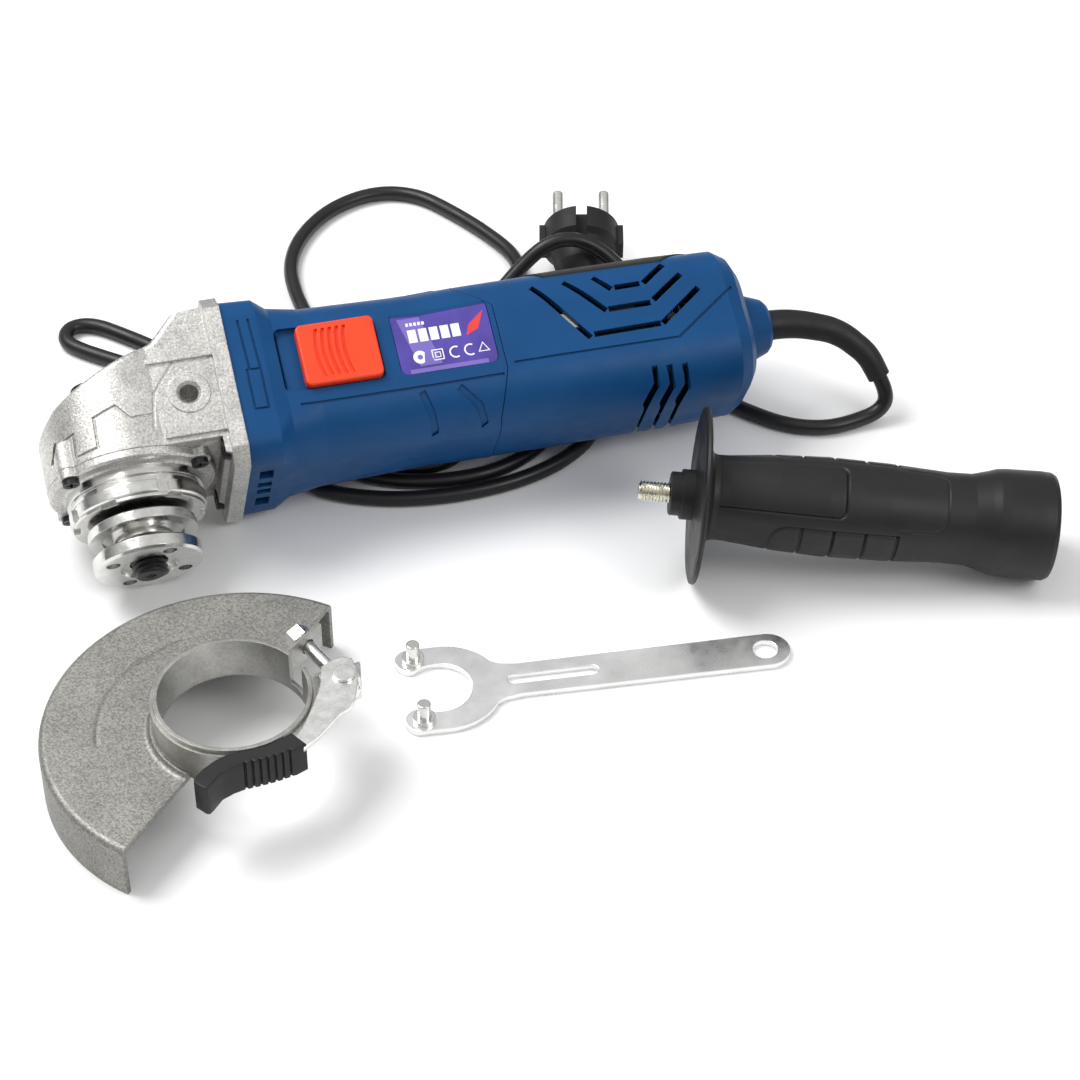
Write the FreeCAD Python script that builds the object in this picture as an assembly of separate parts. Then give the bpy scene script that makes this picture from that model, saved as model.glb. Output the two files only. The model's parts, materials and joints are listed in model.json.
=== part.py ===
import FreeCAD, Part
import math
import os
from FreeCAD import Placement, Rotation, Vector

os.makedirs("parts", exist_ok=True)

# Compact angle grinder with its guard, side handle, pin spanner and mains lead, laid out on a table.
#
# The grinder is modelled on the bench first: X runs along the motor axis to the cord end, the spindle
# points along -Y, and the switch is on the +Z side. Then it is rolled over onto the flange nut and the
# corner of its flange, as a grinder lies when it is put down, and the loose pieces are laid beside it.

# ------------------------------------------------------------------ driving dimensions, millimetres
RUNNING_CLEARANCE = 0.05      # radial, shafts in bearings and bores
SEAM_GAP = 0.25               # between two mouldings

# gear head and drive
SPINDLE_THREAD_RADIUS = 6.95  # M14
SPINDLE_TIP = 58.8            # thread end below the motor axis
HEAD_RADIUS = 31.0            # casting round the spindle
HEAD_UNDERSIDE = 21.0         # joint face of the bearing cover, below the motor axis
HEAD_HALF_WIDTH = 29.0
PLATE_HALF = 33.5             # square flange between head and motor housing
PLATE_CORNER = 6.0            # its clipped corners
PLATE_FRONT = 34.0
PLATE_THICKNESS = 6.0
NECK_RADIUS = 25.0            # guard seat, 50 mm across
NECK_LENGTH = 11.5
COVER_THICKNESS = 3.5
PINION_TEETH = 10
CROWN_TEETH = 37
CROWN_PITCH_RADIUS = 21.0
TOOTH_FACE = 7.0
TOOTH_THICKNESS_SHARE = 0.34  # of the circular pitch, leaves backlash
FLANGE_RADIUS = 20.0          # inner flange and flange nut, 40 mm across
FLANGE_PILOT_RADIUS = 11.1    # 22.2 mm disc bore
FLANGE_FACE = 43.5            # disc seat below the motor axis
NUT_FACE = 55.2               # outer face of the nut
NUT_THICKNESS = 5.5
NUT_PIN_CIRCLE = 15.0         # radius of the four pin holes
NUT_PIN_HOLE_RADIUS = 2.6
STUD_RADIUS = 3.95            # M8 outside
HANDLE_THREAD_RADIUS = STUD_RADIUS - 0.55    # tapping size for the same thread
HANDLE_BOSS_X = 23.4
HANDLE_BOSS_Y = -2.4
HANDLE_BOSS_PROUD = 0.4       # boss face beyond the casting
HANDLE_THREAD_BOTTOM = 16.0   # inner end of each thread, from the motor axis
HANDLE_THREAD_CHAMFER = 1.2
LOCK_PIN_RADIUS = 2.5
LOCK_CIRCLE = 9.5             # radius of the four lock holes in the crown gear
LOCK_TRAVEL = 5.0             # the button goes down until its pin stands in a hole of the crown gear

# motor
SHAFT_RADIUS = 4.0
CORE_RADIUS = 18.6
CORE_START = 64.0
CORE_LENGTH = 40.0
STATOR_AIR_GAP = 0.6
STATOR_OUTER = 23.4
COMMUTATOR_RADIUS = 11.0
COMMUTATOR_START = 118.0
COMMUTATOR_LENGTH = 15.0
FAN_RADIUS = 25.0
FAN_START = 45.0
FAN_DEPTH = 10.0
BRUSH_WIDTH = 6.0

# mouldings
COLLAR_HALF = 32.3            # square front collar of the motor housing
HOUSING_HALF_HEIGHT = 30.5    # along Y
HOUSING_HALF_WIDTH = 29.0     # along Z
HOUSING_CORNER = 20.0
REAR_HALF_HEIGHT = 30.0
REAR_HALF_WIDTH = 28.0
HOUSING_WALL = 2.6
SEAM_X = 140.0
REAR_END = 238.0
BOSS_END = 250.0
SWITCH_X = 80.0               # middle of the slider
SWITCH_Y = 4.0
SWITCH_LENGTH = 29.0
SWITCH_WIDTH = 24.0
SWITCH_TRAVEL = 6.0
LABEL_X = 119.5
LABEL_LENGTH = 37.0
LABEL_WIDTH = 26.0
GRIP_THICKNESS = 1.2

# mains lead
CORD_DIAMETER = 6.0
SLEEVE_START_RADIUS = 6.2
SLEEVE_END_RADIUS = 4.4
PLUG_RING_RADIUS = 15.5
PLUG_RING_DEPTH = 11.0
PLUG_LENGTH = 42.0
PLUG_PIN_PITCH = 19.0
PLUG_PIN_RADIUS = 2.4

# guard
GUARD_RADIUS = 66.8
GUARD_SHEET = 1.8
GUARD_DEPTH = 21.0
GUARD_FROM = 48.0             # degrees round the collar
GUARD_TO = 225.0
COLLAR_INNER = 25.4
COLLAR_SHEET = 1.5
COLLAR_HEIGHT = 14.5
BAND_SHEET = 1.2
BAND_HEIGHT = 11.0
BAND_GAP_FROM = 6.0           # degrees, opening between the two ears
BAND_GAP_TO = 36.0

# side handle
HANDLE_FLANGE_RADIUS = 32.5
HANDLE_LENGTH = 131.5         # flange face to the end
HANDLE_END_RADIUS = 20.0
STUD_REACH = 20.0             # stud tip beyond the flange face

# pin spanner
SPANNER_LENGTH = 134.0        # pin line to the handle's end
SPANNER_SHEET = 2.5
SPANNER_PIN_RADIUS = 2.4
SPANNER_PIN_HEIGHT = 8.0

# how it all lies on the table
ROLL = 28.2                   # degrees about the motor axis
PITCH = 1.4                   # degrees, cord end low
AXIS_HEIGHT = 43.6            # motor axis above the table at the spindle
GRINDER_AT = Vector(-144.1, 54.6, AXIS_HEIGHT)
GUARD_AT = Vector(-131.5, -83.7, 0)
HANDLE_AT = Vector(50.2, -26.5, HANDLE_FLANGE_RADIUS)
HANDLE_TURN = -17.4
SPANNER_AT = Vector(-63.5, -66.8, 0)
SPANNER_TURN = -6.5
PLUG_TURN = -15.9
PLUG_TILT = 14.0              # degrees, pins up: it rests on its ring's rear edge and near its tail
PLUG_AT = Vector(63.5, 161.0, PLUG_RING_RADIUS * math.cos(math.radians(PLUG_TILT))
                 + PLUG_RING_DEPTH * math.sin(math.radians(PLUG_TILT)))

ORIGIN = Vector(0, 0, 0)
X_AXIS = Vector(1, 0, 0)
Y_AXIS = Vector(0, 1, 0)
Z_AXIS = Vector(0, 0, 1)
FAR = 400.0                   # larger than anything it has to cut

nodes = {}


# ------------------------------------------------------------------ shape helpers
def rod(radius, start, direction, length):
    return Part.makeCylinder(radius, length, Vector(*start), direction)


def tube(outer, inner, start, direction, length):
    return rod(outer, start, direction, length).cut(rod(inner, start, direction, length))


def block(x, y, z):
    """A box given by its low and high value along each axis."""
    return Part.makeBox(x[1] - x[0], y[1] - y[0], z[1] - z[0], Vector(x[0], y[0], z[0]))


def polygon(points):
    return Part.Face(Part.makePolygon([Vector(*p) for p in points + [points[0]]]))


def turned_y(profile):
    """Turn a closed profile of (radius, y) points about the spindle axis."""
    return polygon([(r, y, 0) for r, y in profile]).revolve(ORIGIN, Y_AXIS, 360)


def turned_x(profile):
    """Turn a closed profile of (x, radius) points about the motor axis."""
    return polygon([(x, r, 0) for x, r in profile]).revolve(ORIGIN, X_AXIS, 360)


def turned_z(profile):
    """Turn a closed profile of (radius, z) points about Z."""
    return polygon([(r, 0, z) for r, z in profile]).revolve(ORIGIN, Z_AXIS, 360)


def prism_z(points, low, high):
    return polygon([(x, y, low) for x, y in points]).extrude(Vector(0, 0, high - low))


def prism_x(points, low, high):
    return polygon([(low, y, z) for y, z in points]).extrude(Vector(high - low, 0, 0))


def round_rectangle(x, half_y, half_z, corner, grow=0.0):
    """A rounded rectangle across the motor axis, as a wire of four lines and four arcs."""
    a = half_y + grow
    b = half_z + grow
    r = corner + grow
    edges = []
    for quarter in range(4):
        sy, sz = [(1, 1), (-1, 1), (-1, -1), (1, -1)][quarter]
        middle = Vector(x, sy * (a - r), sz * (b - r))
        start = math.radians(90 * quarter)
        arc = [middle + Vector(0, r * math.cos(start + t), r * math.sin(start + t))
               for t in (0, math.pi / 4, math.pi / 2)]
        edges.append(Part.Arc(arc[0], arc[1], arc[2]).toShape())
    wire = []
    for quarter in range(4):
        wire.append(edges[quarter])
        end = edges[quarter].lastVertex().Point
        begin = edges[(quarter + 1) % 4].firstVertex().Point
        wire.append(Part.LineSegment(end, begin).toShape())
    return Part.Wire(wire)


def loft(stations, grow=0.0):
    """A solid through stations of (x, half_y, half_z, corner), each grown by the same amount."""
    wires = [round_rectangle(*station, grow=grow) for station in stations]
    return Part.makeLoft(wires, True, True)


def fuse(shapes):
    result = shapes[0]
    if len(shapes) > 1:
        result = result.multiFuse(shapes[1:])
    return result.removeSplitter()


def cut(shape, tools):
    return shape.cut(tools)


def copies(shape, count, axis, step=None, centre=ORIGIN):
    """Copies of a shape, turned about an axis through centre."""
    step = 360.0 / count if step is None else step
    result = []
    for k in range(count):
        piece = shape.copy()
        piece.rotate(centre, axis, k * step)
        result.append(piece)
    return result


def bar_cutter(line, width, low, high):
    """An upright bar along a line ((x0, y0), (x1, y1)), a little longer than it at both ends."""
    (x0, y0), (x1, y1) = line
    length = math.hypot(x1 - x0, y1 - y0)
    bar = Part.makeBox(length + width, width, high - low, Vector(-width / 2, -width / 2, 0))
    bar.rotate(ORIGIN, Z_AXIS, math.degrees(math.atan2(y1 - y0, x1 - x0)))
    bar.translate(Vector(x0, y0, low))
    return bar


def engraved(points, width, solid_below, low=12.0):
    """Groove cutters along a line of points, as deep as the skin above solid_below."""
    return [bar_cutter(line, width, low, FAR).cut(solid_below) for line in zip(points, points[1:])]


def softened(shape, radius, picks):
    """Round the edges that a test picks out."""
    edges = [edge for edge in shape.Edges if picks(edge)]
    return shape.makeFillet(radius, edges)


def pan_head_screw(at, direction, shank_radius, shank_length, head_radius, head_height):
    """A screw whose head stands out against direction, with a cross recess cut as a slot pair."""
    head = rod(head_radius, at, direction * -1, head_height)
    shank = rod(shank_radius, at, direction, shank_length)
    deep = head_height * 0.6
    top = Vector(*at) - direction * head_height
    cross = []
    for turn in (0, 90):
        bar = Part.makeBox(head_radius * 1.2, head_radius * 0.28, deep * 2,
                           Vector(-head_radius * 0.6, -head_radius * 0.14, -deep))
        bar.rotate(ORIGIN, Z_AXIS, turn)
        bar.Placement = Placement(top, Rotation(Z_AXIS, direction)).multiply(bar.Placement)
        cross.append(bar)
    return head.cut(cross).fuse(shank)


# ------------------------------------------------------------------ gear head
def head_plan(grow):
    """The head seen along the spindle: a round nose that runs into the flange."""
    radius = HEAD_RADIUS + grow
    nose = rod(radius, (0, -FAR, 0), Y_AXIS, 2 * FAR)
    reach = PLATE_FRONT + PLATE_THICKNESS / 2
    half = HEAD_HALF_WIDTH + grow
    body = block((0, reach), (-FAR, FAR), (-half, half))
    return nose.fuse(body).common(block((-FAR, reach), (-FAR, FAR), (-FAR, FAR)))


def head_profile(grow):
    """The head seen from the side: its back falls from the flange to the nose."""
    nose = -HEAD_RADIUS - grow
    reach = PLATE_FRONT + PLATE_THICKNESS / 2
    outline = [(nose, -HEAD_UNDERSIDE), (nose, -2 + grow), (-24, 4 + grow), (6, 17 + grow),
               (13, 19.5 + grow), (22, 29 + grow), (reach, 30.5 + grow), (reach, -29 - grow),
               (HEAD_RADIUS + 1 + grow, -27 - grow), (HEAD_RADIUS + 1 + grow, -HEAD_UNDERSIDE)]
    return prism_z(outline, -FAR, FAR)


def clipped_plate(half, corner, low, high):
    outline = [(half, half - corner), (half - corner, half), (corner - half, half), (-half, half - corner),
               (-half, corner - half), (corner - half, -half), (half - corner, -half),
               (half, corner - half)]
    return prism_x(outline, low, high)


PLATE_BACK = PLATE_FRONT + PLATE_THICKNESS
FRONT_BEARING_RADIUS = 11.0
FRONT_BEARING_START = 28.5
FRONT_BEARING_LENGTH = 7.0
CAVITY_RADIUS = 24.6
CAVITY_TOP = -2.0
SPINDLE_TOP = 5.0
TOP_JOURNAL_RADIUS = 4.0
TOP_BUSH_RADIUS = 6.6
PLATE_SCREW = 24.5            # flange screws, from the axis along Y and Z
COVER_SCREW_CIRCLE = 29.6
COVER_LOBE_RADIUS = 4.4
COVER_SCREW_ANGLES = (38.0, 142.0, 218.0, 322.0)
LOCK_X = -LOCK_CIRCLE
LOCK_FLOOR = 6.8              # bottom of the pocket that the button sinks into
BUTTON_TOP = 18.0
BUTTON_BOTTOM = LOCK_FLOOR + LOCK_TRAVEL + 0.4


HEAD_LINES = (((19.4, 10.0), (10.8, -0.7), (8.5, -14.4)),
              ((-19.7, -9.3), (-20.1, -18.3), (-12.3, -17.7), (-11.9, -6.3), (-3.9, -3.8),
               (0.8, -9.5), (8.9, -8.8)),
              ((-29.0, -17.5), (-26.4, -11.1), (-19.7, -9.3)))


def head_grooves():
    """Cast panel lines on both flanks of the head."""
    below = head_plan(-0.7)
    grooves = []
    for line in HEAD_LINES:
        for groove in engraved(line, 0.9, below):
            grooves += [groove, groove.mirror(ORIGIN, Z_AXIS)]
    return grooves


def make_gear_head():
    head = head_plan(0).common(head_profile(0))
    head = softened(head, 2.5, lambda e: e.BoundBox.YMin > -HEAD_UNDERSIDE + 1
                    and e.BoundBox.XMax < PLATE_FRONT)
    plate = clipped_plate(PLATE_HALF, PLATE_CORNER, PLATE_FRONT, PLATE_BACK)
    boss_length = 2 * (HEAD_HALF_WIDTH + HANDLE_BOSS_PROUD)
    handle_boss = rod(7.8, (HANDLE_BOSS_X, HANDLE_BOSS_Y, -boss_length / 2), Z_AXIS, boss_length)
    lock_boss = rod(8.6, (LOCK_X, 0, 0), Y_AXIS, 11.5)
    ribs = []
    for side in (-1, 1):
        z = (side * (HEAD_HALF_WIDTH - 1), side * (HEAD_HALF_WIDTH + 1.0))
        ribs.append(block((10, PLATE_FRONT), (10.5, 12.5), (min(z), max(z))))
        ribs.append(block((12, PLATE_FRONT), (-19, -17), (min(z), max(z))))
    lobes = [cover_lobe(angle, -HEAD_UNDERSIDE, -10.5, COVER_LOBE_RADIUS) for angle in COVER_SCREW_ANGLES]
    head = fuse([head, plate, handle_boss, lock_boss] + ribs + lobes)
    cavity = rod(CAVITY_RADIUS, (0, -HEAD_UNDERSIDE - 1, 0), Y_AXIS, HEAD_UNDERSIDE + 1 + CAVITY_TOP)
    pinion_way = rod(FRONT_BEARING_RADIUS - 1.5, (0, 0, 0), X_AXIS, PLATE_BACK + 1)
    bearing_seat = rod(FRONT_BEARING_RADIUS, (FRONT_BEARING_START, 0, 0), X_AXIS, PLATE_BACK)
    bush_seat = rod(TOP_BUSH_RADIUS, (0, CAVITY_TOP - 1, 0), Y_AXIS, SPINDLE_TOP - CAVITY_TOP + 1.3)
    lock_bore = rod(LOCK_PIN_RADIUS + RUNNING_CLEARANCE, (LOCK_X, CAVITY_TOP - 1, 0), Y_AXIS, 30)
    lock_pocket = rod(6.6, (LOCK_X, LOCK_FLOOR, 0), Y_AXIS, 30)
    handle_holes = [rod(HANDLE_THREAD_RADIUS, (HANDLE_BOSS_X, HANDLE_BOSS_Y, side * HANDLE_THREAD_BOTTOM),
                        Z_AXIS * side, boss_length / 2 - HANDLE_THREAD_BOTTOM + 1)
                    for side in (-1, 1)]
    chamfers = [Part.makeCone(HANDLE_THREAD_RADIUS + HANDLE_THREAD_CHAMFER, HANDLE_THREAD_RADIUS,
                              HANDLE_THREAD_CHAMFER,
                              Vector(HANDLE_BOSS_X, HANDLE_BOSS_Y, side * boss_length / 2), Z_AXIS * -side)
                for side in (-1, 1)]
    vents = []
    for side in (-1, 1):
        for k in range(3):
            vents.append(block((19.5 + 4.2 * k, 21.7 + 4.2 * k), (17.5, 40),
                               (side * 20 - 5.5, side * 20 + 5.5)))
    plate_holes = [rod(2.1, (PLATE_FRONT - 8, sy * PLATE_SCREW, sz * PLATE_SCREW), X_AXIS, 20)
                   for sy in (-1, 1) for sz in (-1, 1)]
    counterbores = [rod(4.3, (PLATE_FRONT - 12, sy * PLATE_SCREW, sz * PLATE_SCREW), X_AXIS, 12)
                    for sy in (-1, 1) for sz in (-1, 1)]
    cover_holes = [cover_screw_hole(angle, 9.0) for angle in COVER_SCREW_ANGLES]
    tools = [cavity, pinion_way, bearing_seat, bush_seat, lock_bore, lock_pocket]
    tools += handle_holes + chamfers + plate_holes + counterbores + cover_holes + head_grooves() + vents
    return cut(head, tools)


def cover_lobe(angle, low, high, radius):
    """A round lobe for one cover screw, joined to the head's circle."""
    lobe = fuse([rod(radius, (COVER_SCREW_CIRCLE, low, 0), Y_AXIS, high - low),
                 block((COVER_SCREW_CIRCLE - 8, COVER_SCREW_CIRCLE), (low, high), (-radius, radius))])
    lobe.rotate(ORIGIN, Y_AXIS, -angle)
    return lobe


def cover_screw_hole(angle, depth):
    x = COVER_SCREW_CIRCLE * math.cos(math.radians(angle))
    z = COVER_SCREW_CIRCLE * math.sin(math.radians(angle))
    return rod(2.0, (x, -HEAD_UNDERSIDE - COVER_THICKNESS - 1, z), Y_AXIS, COVER_THICKNESS + 1 + depth)


COVER_FACE = HEAD_UNDERSIDE + COVER_THICKNESS
NECK_END = COVER_FACE + NECK_LENGTH
BEARING_OUTER = 16.0
BEARING_BORE = 6.0
BEARING_TOP = 18.5
BEARING_WIDTH = 10.0
SPINDLE_HUB_RADIUS = 9.0


def make_bearing_cover():
    """Flange, spigot and guard neck in one casting, with lug slots for the guard on the neck."""
    profile = [(BEARING_OUTER, -BEARING_TOP), (CAVITY_RADIUS - 0.1, -BEARING_TOP),
               (CAVITY_RADIUS - 0.1, -HEAD_UNDERSIDE),
               (HEAD_RADIUS - 0.2, -HEAD_UNDERSIDE), (HEAD_RADIUS - 0.2, -COVER_FACE + 0.8),
               (HEAD_RADIUS - 1.0, -COVER_FACE), (NECK_RADIUS + 1.0, -COVER_FACE), (NECK_RADIUS,
                                                                                    -COVER_FACE - 0.6),
               (NECK_RADIUS, -COVER_FACE - 4.0), (NECK_RADIUS - 1.2, -COVER_FACE - 4.4),
               (NECK_RADIUS - 1.2, -COVER_FACE - 6.4), (NECK_RADIUS, -COVER_FACE - 6.8),
               (NECK_RADIUS, -NECK_END + 0.6), (NECK_RADIUS - 0.6, -NECK_END),
               (SPINDLE_HUB_RADIUS + 4, -NECK_END), (SPINDLE_HUB_RADIUS + 4, -BEARING_TOP - BEARING_WIDTH),
               (BEARING_OUTER, -BEARING_TOP - BEARING_WIDTH)]
    cover = turned_y(profile)
    inside = rod(BEARING_OUTER, (0, -FAR, 0), Y_AXIS, 2 * FAR)
    lobes = [cover_lobe(angle, -COVER_FACE, -HEAD_UNDERSIDE, COVER_LOBE_RADIUS - 0.2)
             for angle in COVER_SCREW_ANGLES]
    cover = fuse([cover] + [lobe.cut(inside) for lobe in lobes])
    holes = [cover_screw_hole(angle, 0.0) for angle in COVER_SCREW_ANGLES]
    lug_slots = []
    for angle in (20, 110, 200, 290):
        slot = block((NECK_RADIUS - 1.5, NECK_RADIUS + 2), (-NECK_END - 1, -COVER_FACE - 6.0), (-2.5, 2.5))
        slot.rotate(ORIGIN, Y_AXIS, angle)
        lug_slots.append(slot)
    return cut(cover, holes + lug_slots)


def make_cover_screws():
    screws = []
    for angle in COVER_SCREW_ANGLES:
        x = COVER_SCREW_CIRCLE * math.cos(math.radians(angle))
        z = COVER_SCREW_CIRCLE * math.sin(math.radians(angle))
        screws.append(pan_head_screw((x, -COVER_FACE, z), Y_AXIS, 2.0, COVER_THICKNESS + 8, 3.1, 2.0))
    return Part.makeCompound(screws)


def make_plate_screws():
    screws = []
    for sy in (-1, 1):
        for sz in (-1, 1):
            at = (PLATE_FRONT, sy * PLATE_SCREW, sz * PLATE_SCREW)
            screws.append(pan_head_screw(at, X_AXIS, 2.1, PLATE_THICKNESS + 14, 3.7, 2.6))
    return Part.makeCompound(screws)


nodes["gear_head"] = make_gear_head()
nodes["bearing_cover"] = make_bearing_cover()
nodes["cover_screws"] = make_cover_screws()
nodes["flange_screws"] = make_plate_screws()
nodes["spindle_bearing"] = fuse([tube(BEARING_OUTER, BEARING_OUTER - 2.5,
                                      (0, -BEARING_TOP - BEARING_WIDTH, 0),
                                      Y_AXIS, BEARING_WIDTH),
                                 tube(BEARING_OUTER - 2, BEARING_BORE + 2.5 + RUNNING_CLEARANCE,
                                      (0, -BEARING_TOP - BEARING_WIDTH + 1, 0), Y_AXIS, BEARING_WIDTH - 2),
                                 tube(BEARING_BORE + 3, BEARING_BORE + RUNNING_CLEARANCE,
                                      (0, -BEARING_TOP - BEARING_WIDTH, 0), Y_AXIS, BEARING_WIDTH)])
nodes["spindle_top_bush"] = tube(TOP_BUSH_RADIUS, TOP_JOURNAL_RADIUS + RUNNING_CLEARANCE, (0, -0.9, 0),
                                 Y_AXIS, SPINDLE_TOP + 1.1)
RETAINER_TOP = NECK_END + 0.05
retainer = tube(NECK_RADIUS - 0.8, SPINDLE_HUB_RADIUS + 3.5, (0, -RETAINER_TOP - 1.2, 0), Y_AXIS, 1.2)
retainer_notch = block((NECK_RADIUS - 3.2, NECK_RADIUS + 1), (-NECK_END - 3, 0), (-3.0, 3.0))
nodes["bearing_retainer"] = cut(retainer, copies(retainer_notch, 6, Y_AXIS))


# ------------------------------------------------------------------ bevel gears
PITCH_ANGLE_PINION = math.atan(PINION_TEETH / CROWN_TEETH)
CONE_OUTER = CROWN_PITCH_RADIUS / math.cos(PITCH_ANGLE_PINION)
CONE_INNER = CONE_OUTER - TOOTH_FACE
MODULE = 2 * CROWN_PITCH_RADIUS / CROWN_TEETH
ADDENDUM = 0.62 * MODULE
DEDENDUM = 0.95 * MODULE
FLANK = math.tan(math.radians(24))


def bevel_teeth(count, pitch_angle, first):
    """Straight teeth about +Z whose pitch cone opens towards +Z with its apex at the origin."""
    def corner(distance, height, half_width):
        scale = distance / CONE_OUTER
        along = Vector(math.sin(pitch_angle), 0, math.cos(pitch_angle)) * distance
        out = Vector(math.cos(pitch_angle), 0, -math.sin(pitch_angle)) * (height * scale)
        return along + out + Vector(0, half_width * scale, 0)

    pitch = math.pi * MODULE
    half = pitch * TOOTH_THICKNESS_SHARE / 2
    sections = []
    for distance in (CONE_OUTER, CONE_INNER):
        low = half + DEDENDUM * 1.2 * FLANK
        high = half - ADDENDUM * FLANK
        points = [corner(distance, -DEDENDUM * 1.2, -low), corner(distance, ADDENDUM, -high),
                  corner(distance, ADDENDUM, high), corner(distance, -DEDENDUM * 1.2, low)]
        sections.append(Part.makePolygon(points + [points[0]]))
    tooth = Part.makeLoft(sections, True, True)
    tooth.rotate(ORIGIN, Z_AXIS, first)
    return copies(tooth, count, Z_AXIS)


def root_cone(pitch_angle, bore, back_height):
    """The blank below the teeth: a cone shell closed by a flat back."""
    def point(distance):
        scale = distance / CONE_OUTER
        r = math.sin(pitch_angle) * distance - math.cos(pitch_angle) * DEDENDUM * scale
        z = math.cos(pitch_angle) * distance + math.sin(pitch_angle) * DEDENDUM * scale
        return r, z

    outer = point(CONE_OUTER)
    inner = point(CONE_INNER)
    return [(bore, inner[1]), inner, outer, (outer[0], back_height), (bore, back_height)]


def make_crown_gear():
    """Crown gear: teeth face the pinion, with four lock holes on a smaller circle."""
    crown_angle = math.pi / 2 - PITCH_ANGLE_PINION
    bore = 5.0
    blank = turned_z(root_cone(crown_angle, bore, 11.5))
    hub = turned_z([(bore, 11), (12, 11), (12, 15.5), (bore, 15.5)])
    gear = fuse([blank, hub] + bevel_teeth(CROWN_TEETH, crown_angle, 0.0))
    holes = [rod(LOCK_PIN_RADIUS + 0.25, (LOCK_CIRCLE * math.cos(a), LOCK_CIRCLE * math.sin(a), 0), Z_AXIS,
                 10.2)
             for a in (0, math.pi / 2, math.pi, 3 * math.pi / 2)]
    gear = cut(gear, holes)
    gear.rotate(ORIGIN, X_AXIS, 90)
    return gear


def make_pinion():
    blank = turned_z(root_cone(PITCH_ANGLE_PINION, SHAFT_RADIUS - 1.6, CONE_OUTER + 2.0))
    pinion = fuse([blank] + bevel_teeth(PINION_TEETH, PITCH_ANGLE_PINION, 0.0))
    pinion.rotate(ORIGIN, Y_AXIS, 90)
    return pinion


nodes["crown_gear"] = make_crown_gear()
nodes["pinion"] = make_pinion()

# ------------------------------------------------------------------ spindle, flange and nut
FLANGE_THICKNESS = 4.5
HUB_TOP = BEARING_TOP + BEARING_WIDTH + 0.2
spindle_profile = [(0, SPINDLE_TOP - 0.4), (TOP_JOURNAL_RADIUS, SPINDLE_TOP - 0.4),
                   (TOP_JOURNAL_RADIUS, -1), (5.0, -1),
                   (5.0, -15.5), (BEARING_BORE, -15.5), (BEARING_BORE, -HUB_TOP), (SPINDLE_HUB_RADIUS,
                                                                                   -HUB_TOP),
                   (SPINDLE_HUB_RADIUS, -FLANGE_FACE + FLANGE_THICKNESS),
                   (SPINDLE_THREAD_RADIUS, -FLANGE_FACE + FLANGE_THICKNESS), (SPINDLE_THREAD_RADIUS,
                                                                              -SPINDLE_TIP + 1.2),
                   (SPINDLE_THREAD_RADIUS - 1.2, -SPINDLE_TIP), (2.2, -SPINDLE_TIP), (0,
                                                                                      -SPINDLE_TIP + 1.6)]
nodes["spindle"] = turned_y(spindle_profile)
THREAD_BORE = SPINDLE_THREAD_RADIUS + RUNNING_CLEARANCE
inner_flange = turned_y([(THREAD_BORE, -FLANGE_FACE + FLANGE_THICKNESS),
                         (FLANGE_RADIUS - 1, -FLANGE_FACE + FLANGE_THICKNESS),
                         (FLANGE_RADIUS, -FLANGE_FACE + FLANGE_THICKNESS - 1), (FLANGE_RADIUS,
                                                                                -FLANGE_FACE),
                         (FLANGE_PILOT_RADIUS + 4, -FLANGE_FACE), (FLANGE_PILOT_RADIUS + 4,
                                                                   -FLANGE_FACE + 0.8),
                         (FLANGE_PILOT_RADIUS, -FLANGE_FACE + 0.8), (FLANGE_PILOT_RADIUS,
                                                                     -FLANGE_FACE - 2.2),
                         (FLANGE_PILOT_RADIUS - 0.6, -FLANGE_FACE - 2.8), (THREAD_BORE,
                                                                           -FLANGE_FACE - 2.8)])
nodes["inner_flange"] = inner_flange
NUT_BACK = NUT_FACE - NUT_THICKNESS
nut = turned_y([(THREAD_BORE, -NUT_BACK + 2.6), (10.8, -NUT_BACK + 2.6), (10.8, -NUT_BACK),
                (FLANGE_RADIUS - 0.6, -NUT_BACK),
                (FLANGE_RADIUS, -NUT_BACK - 0.6), (FLANGE_RADIUS, -NUT_FACE + 0.9), (FLANGE_RADIUS - 0.9,
                                                                                     -NUT_FACE),
                (10.6, -NUT_FACE), (10.2, -NUT_FACE + 1.6), (THREAD_BORE, -NUT_FACE + 1.6)])
nut_hole = rod(NUT_PIN_HOLE_RADIUS, (NUT_PIN_CIRCLE, -NUT_FACE - 1, 0), Y_AXIS, NUT_THICKNESS + 2)
nut_hole.rotate(ORIGIN, Y_AXIS, 27.3)
nodes["flange_nut"] = cut(nut, copies(nut_hole, 4, Y_AXIS))

# ------------------------------------------------------------------ spindle lock
PIN_REST_END = -2.9
nodes["lock_pin"] = rod(LOCK_PIN_RADIUS, (LOCK_X, PIN_REST_END, 0), Y_AXIS, BUTTON_TOP - 2.0 - PIN_REST_END)
button = rod(6.3, (LOCK_X, BUTTON_BOTTOM, 0), Y_AXIS, BUTTON_TOP - BUTTON_BOTTOM)
button = softened(button, 1.2, lambda e: e.BoundBox.YMin > BUTTON_TOP - 0.1)
spring_seat = rod(5.4, (LOCK_X, BUTTON_BOTTOM - 1, 0), Y_AXIS, 2.8)
pin_seat = rod(LOCK_PIN_RADIUS, (LOCK_X, BUTTON_BOTTOM, 0), Y_AXIS, BUTTON_TOP - 2.0 - BUTTON_BOTTOM)
nodes["lock_button"] = cut(button, [spring_seat, pin_seat])
SPRING_LOW = LOCK_FLOOR + 0.05
SPRING_HIGH = BUTTON_BOTTOM + 1.75
SPRING_WIRE = 0.35


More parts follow.
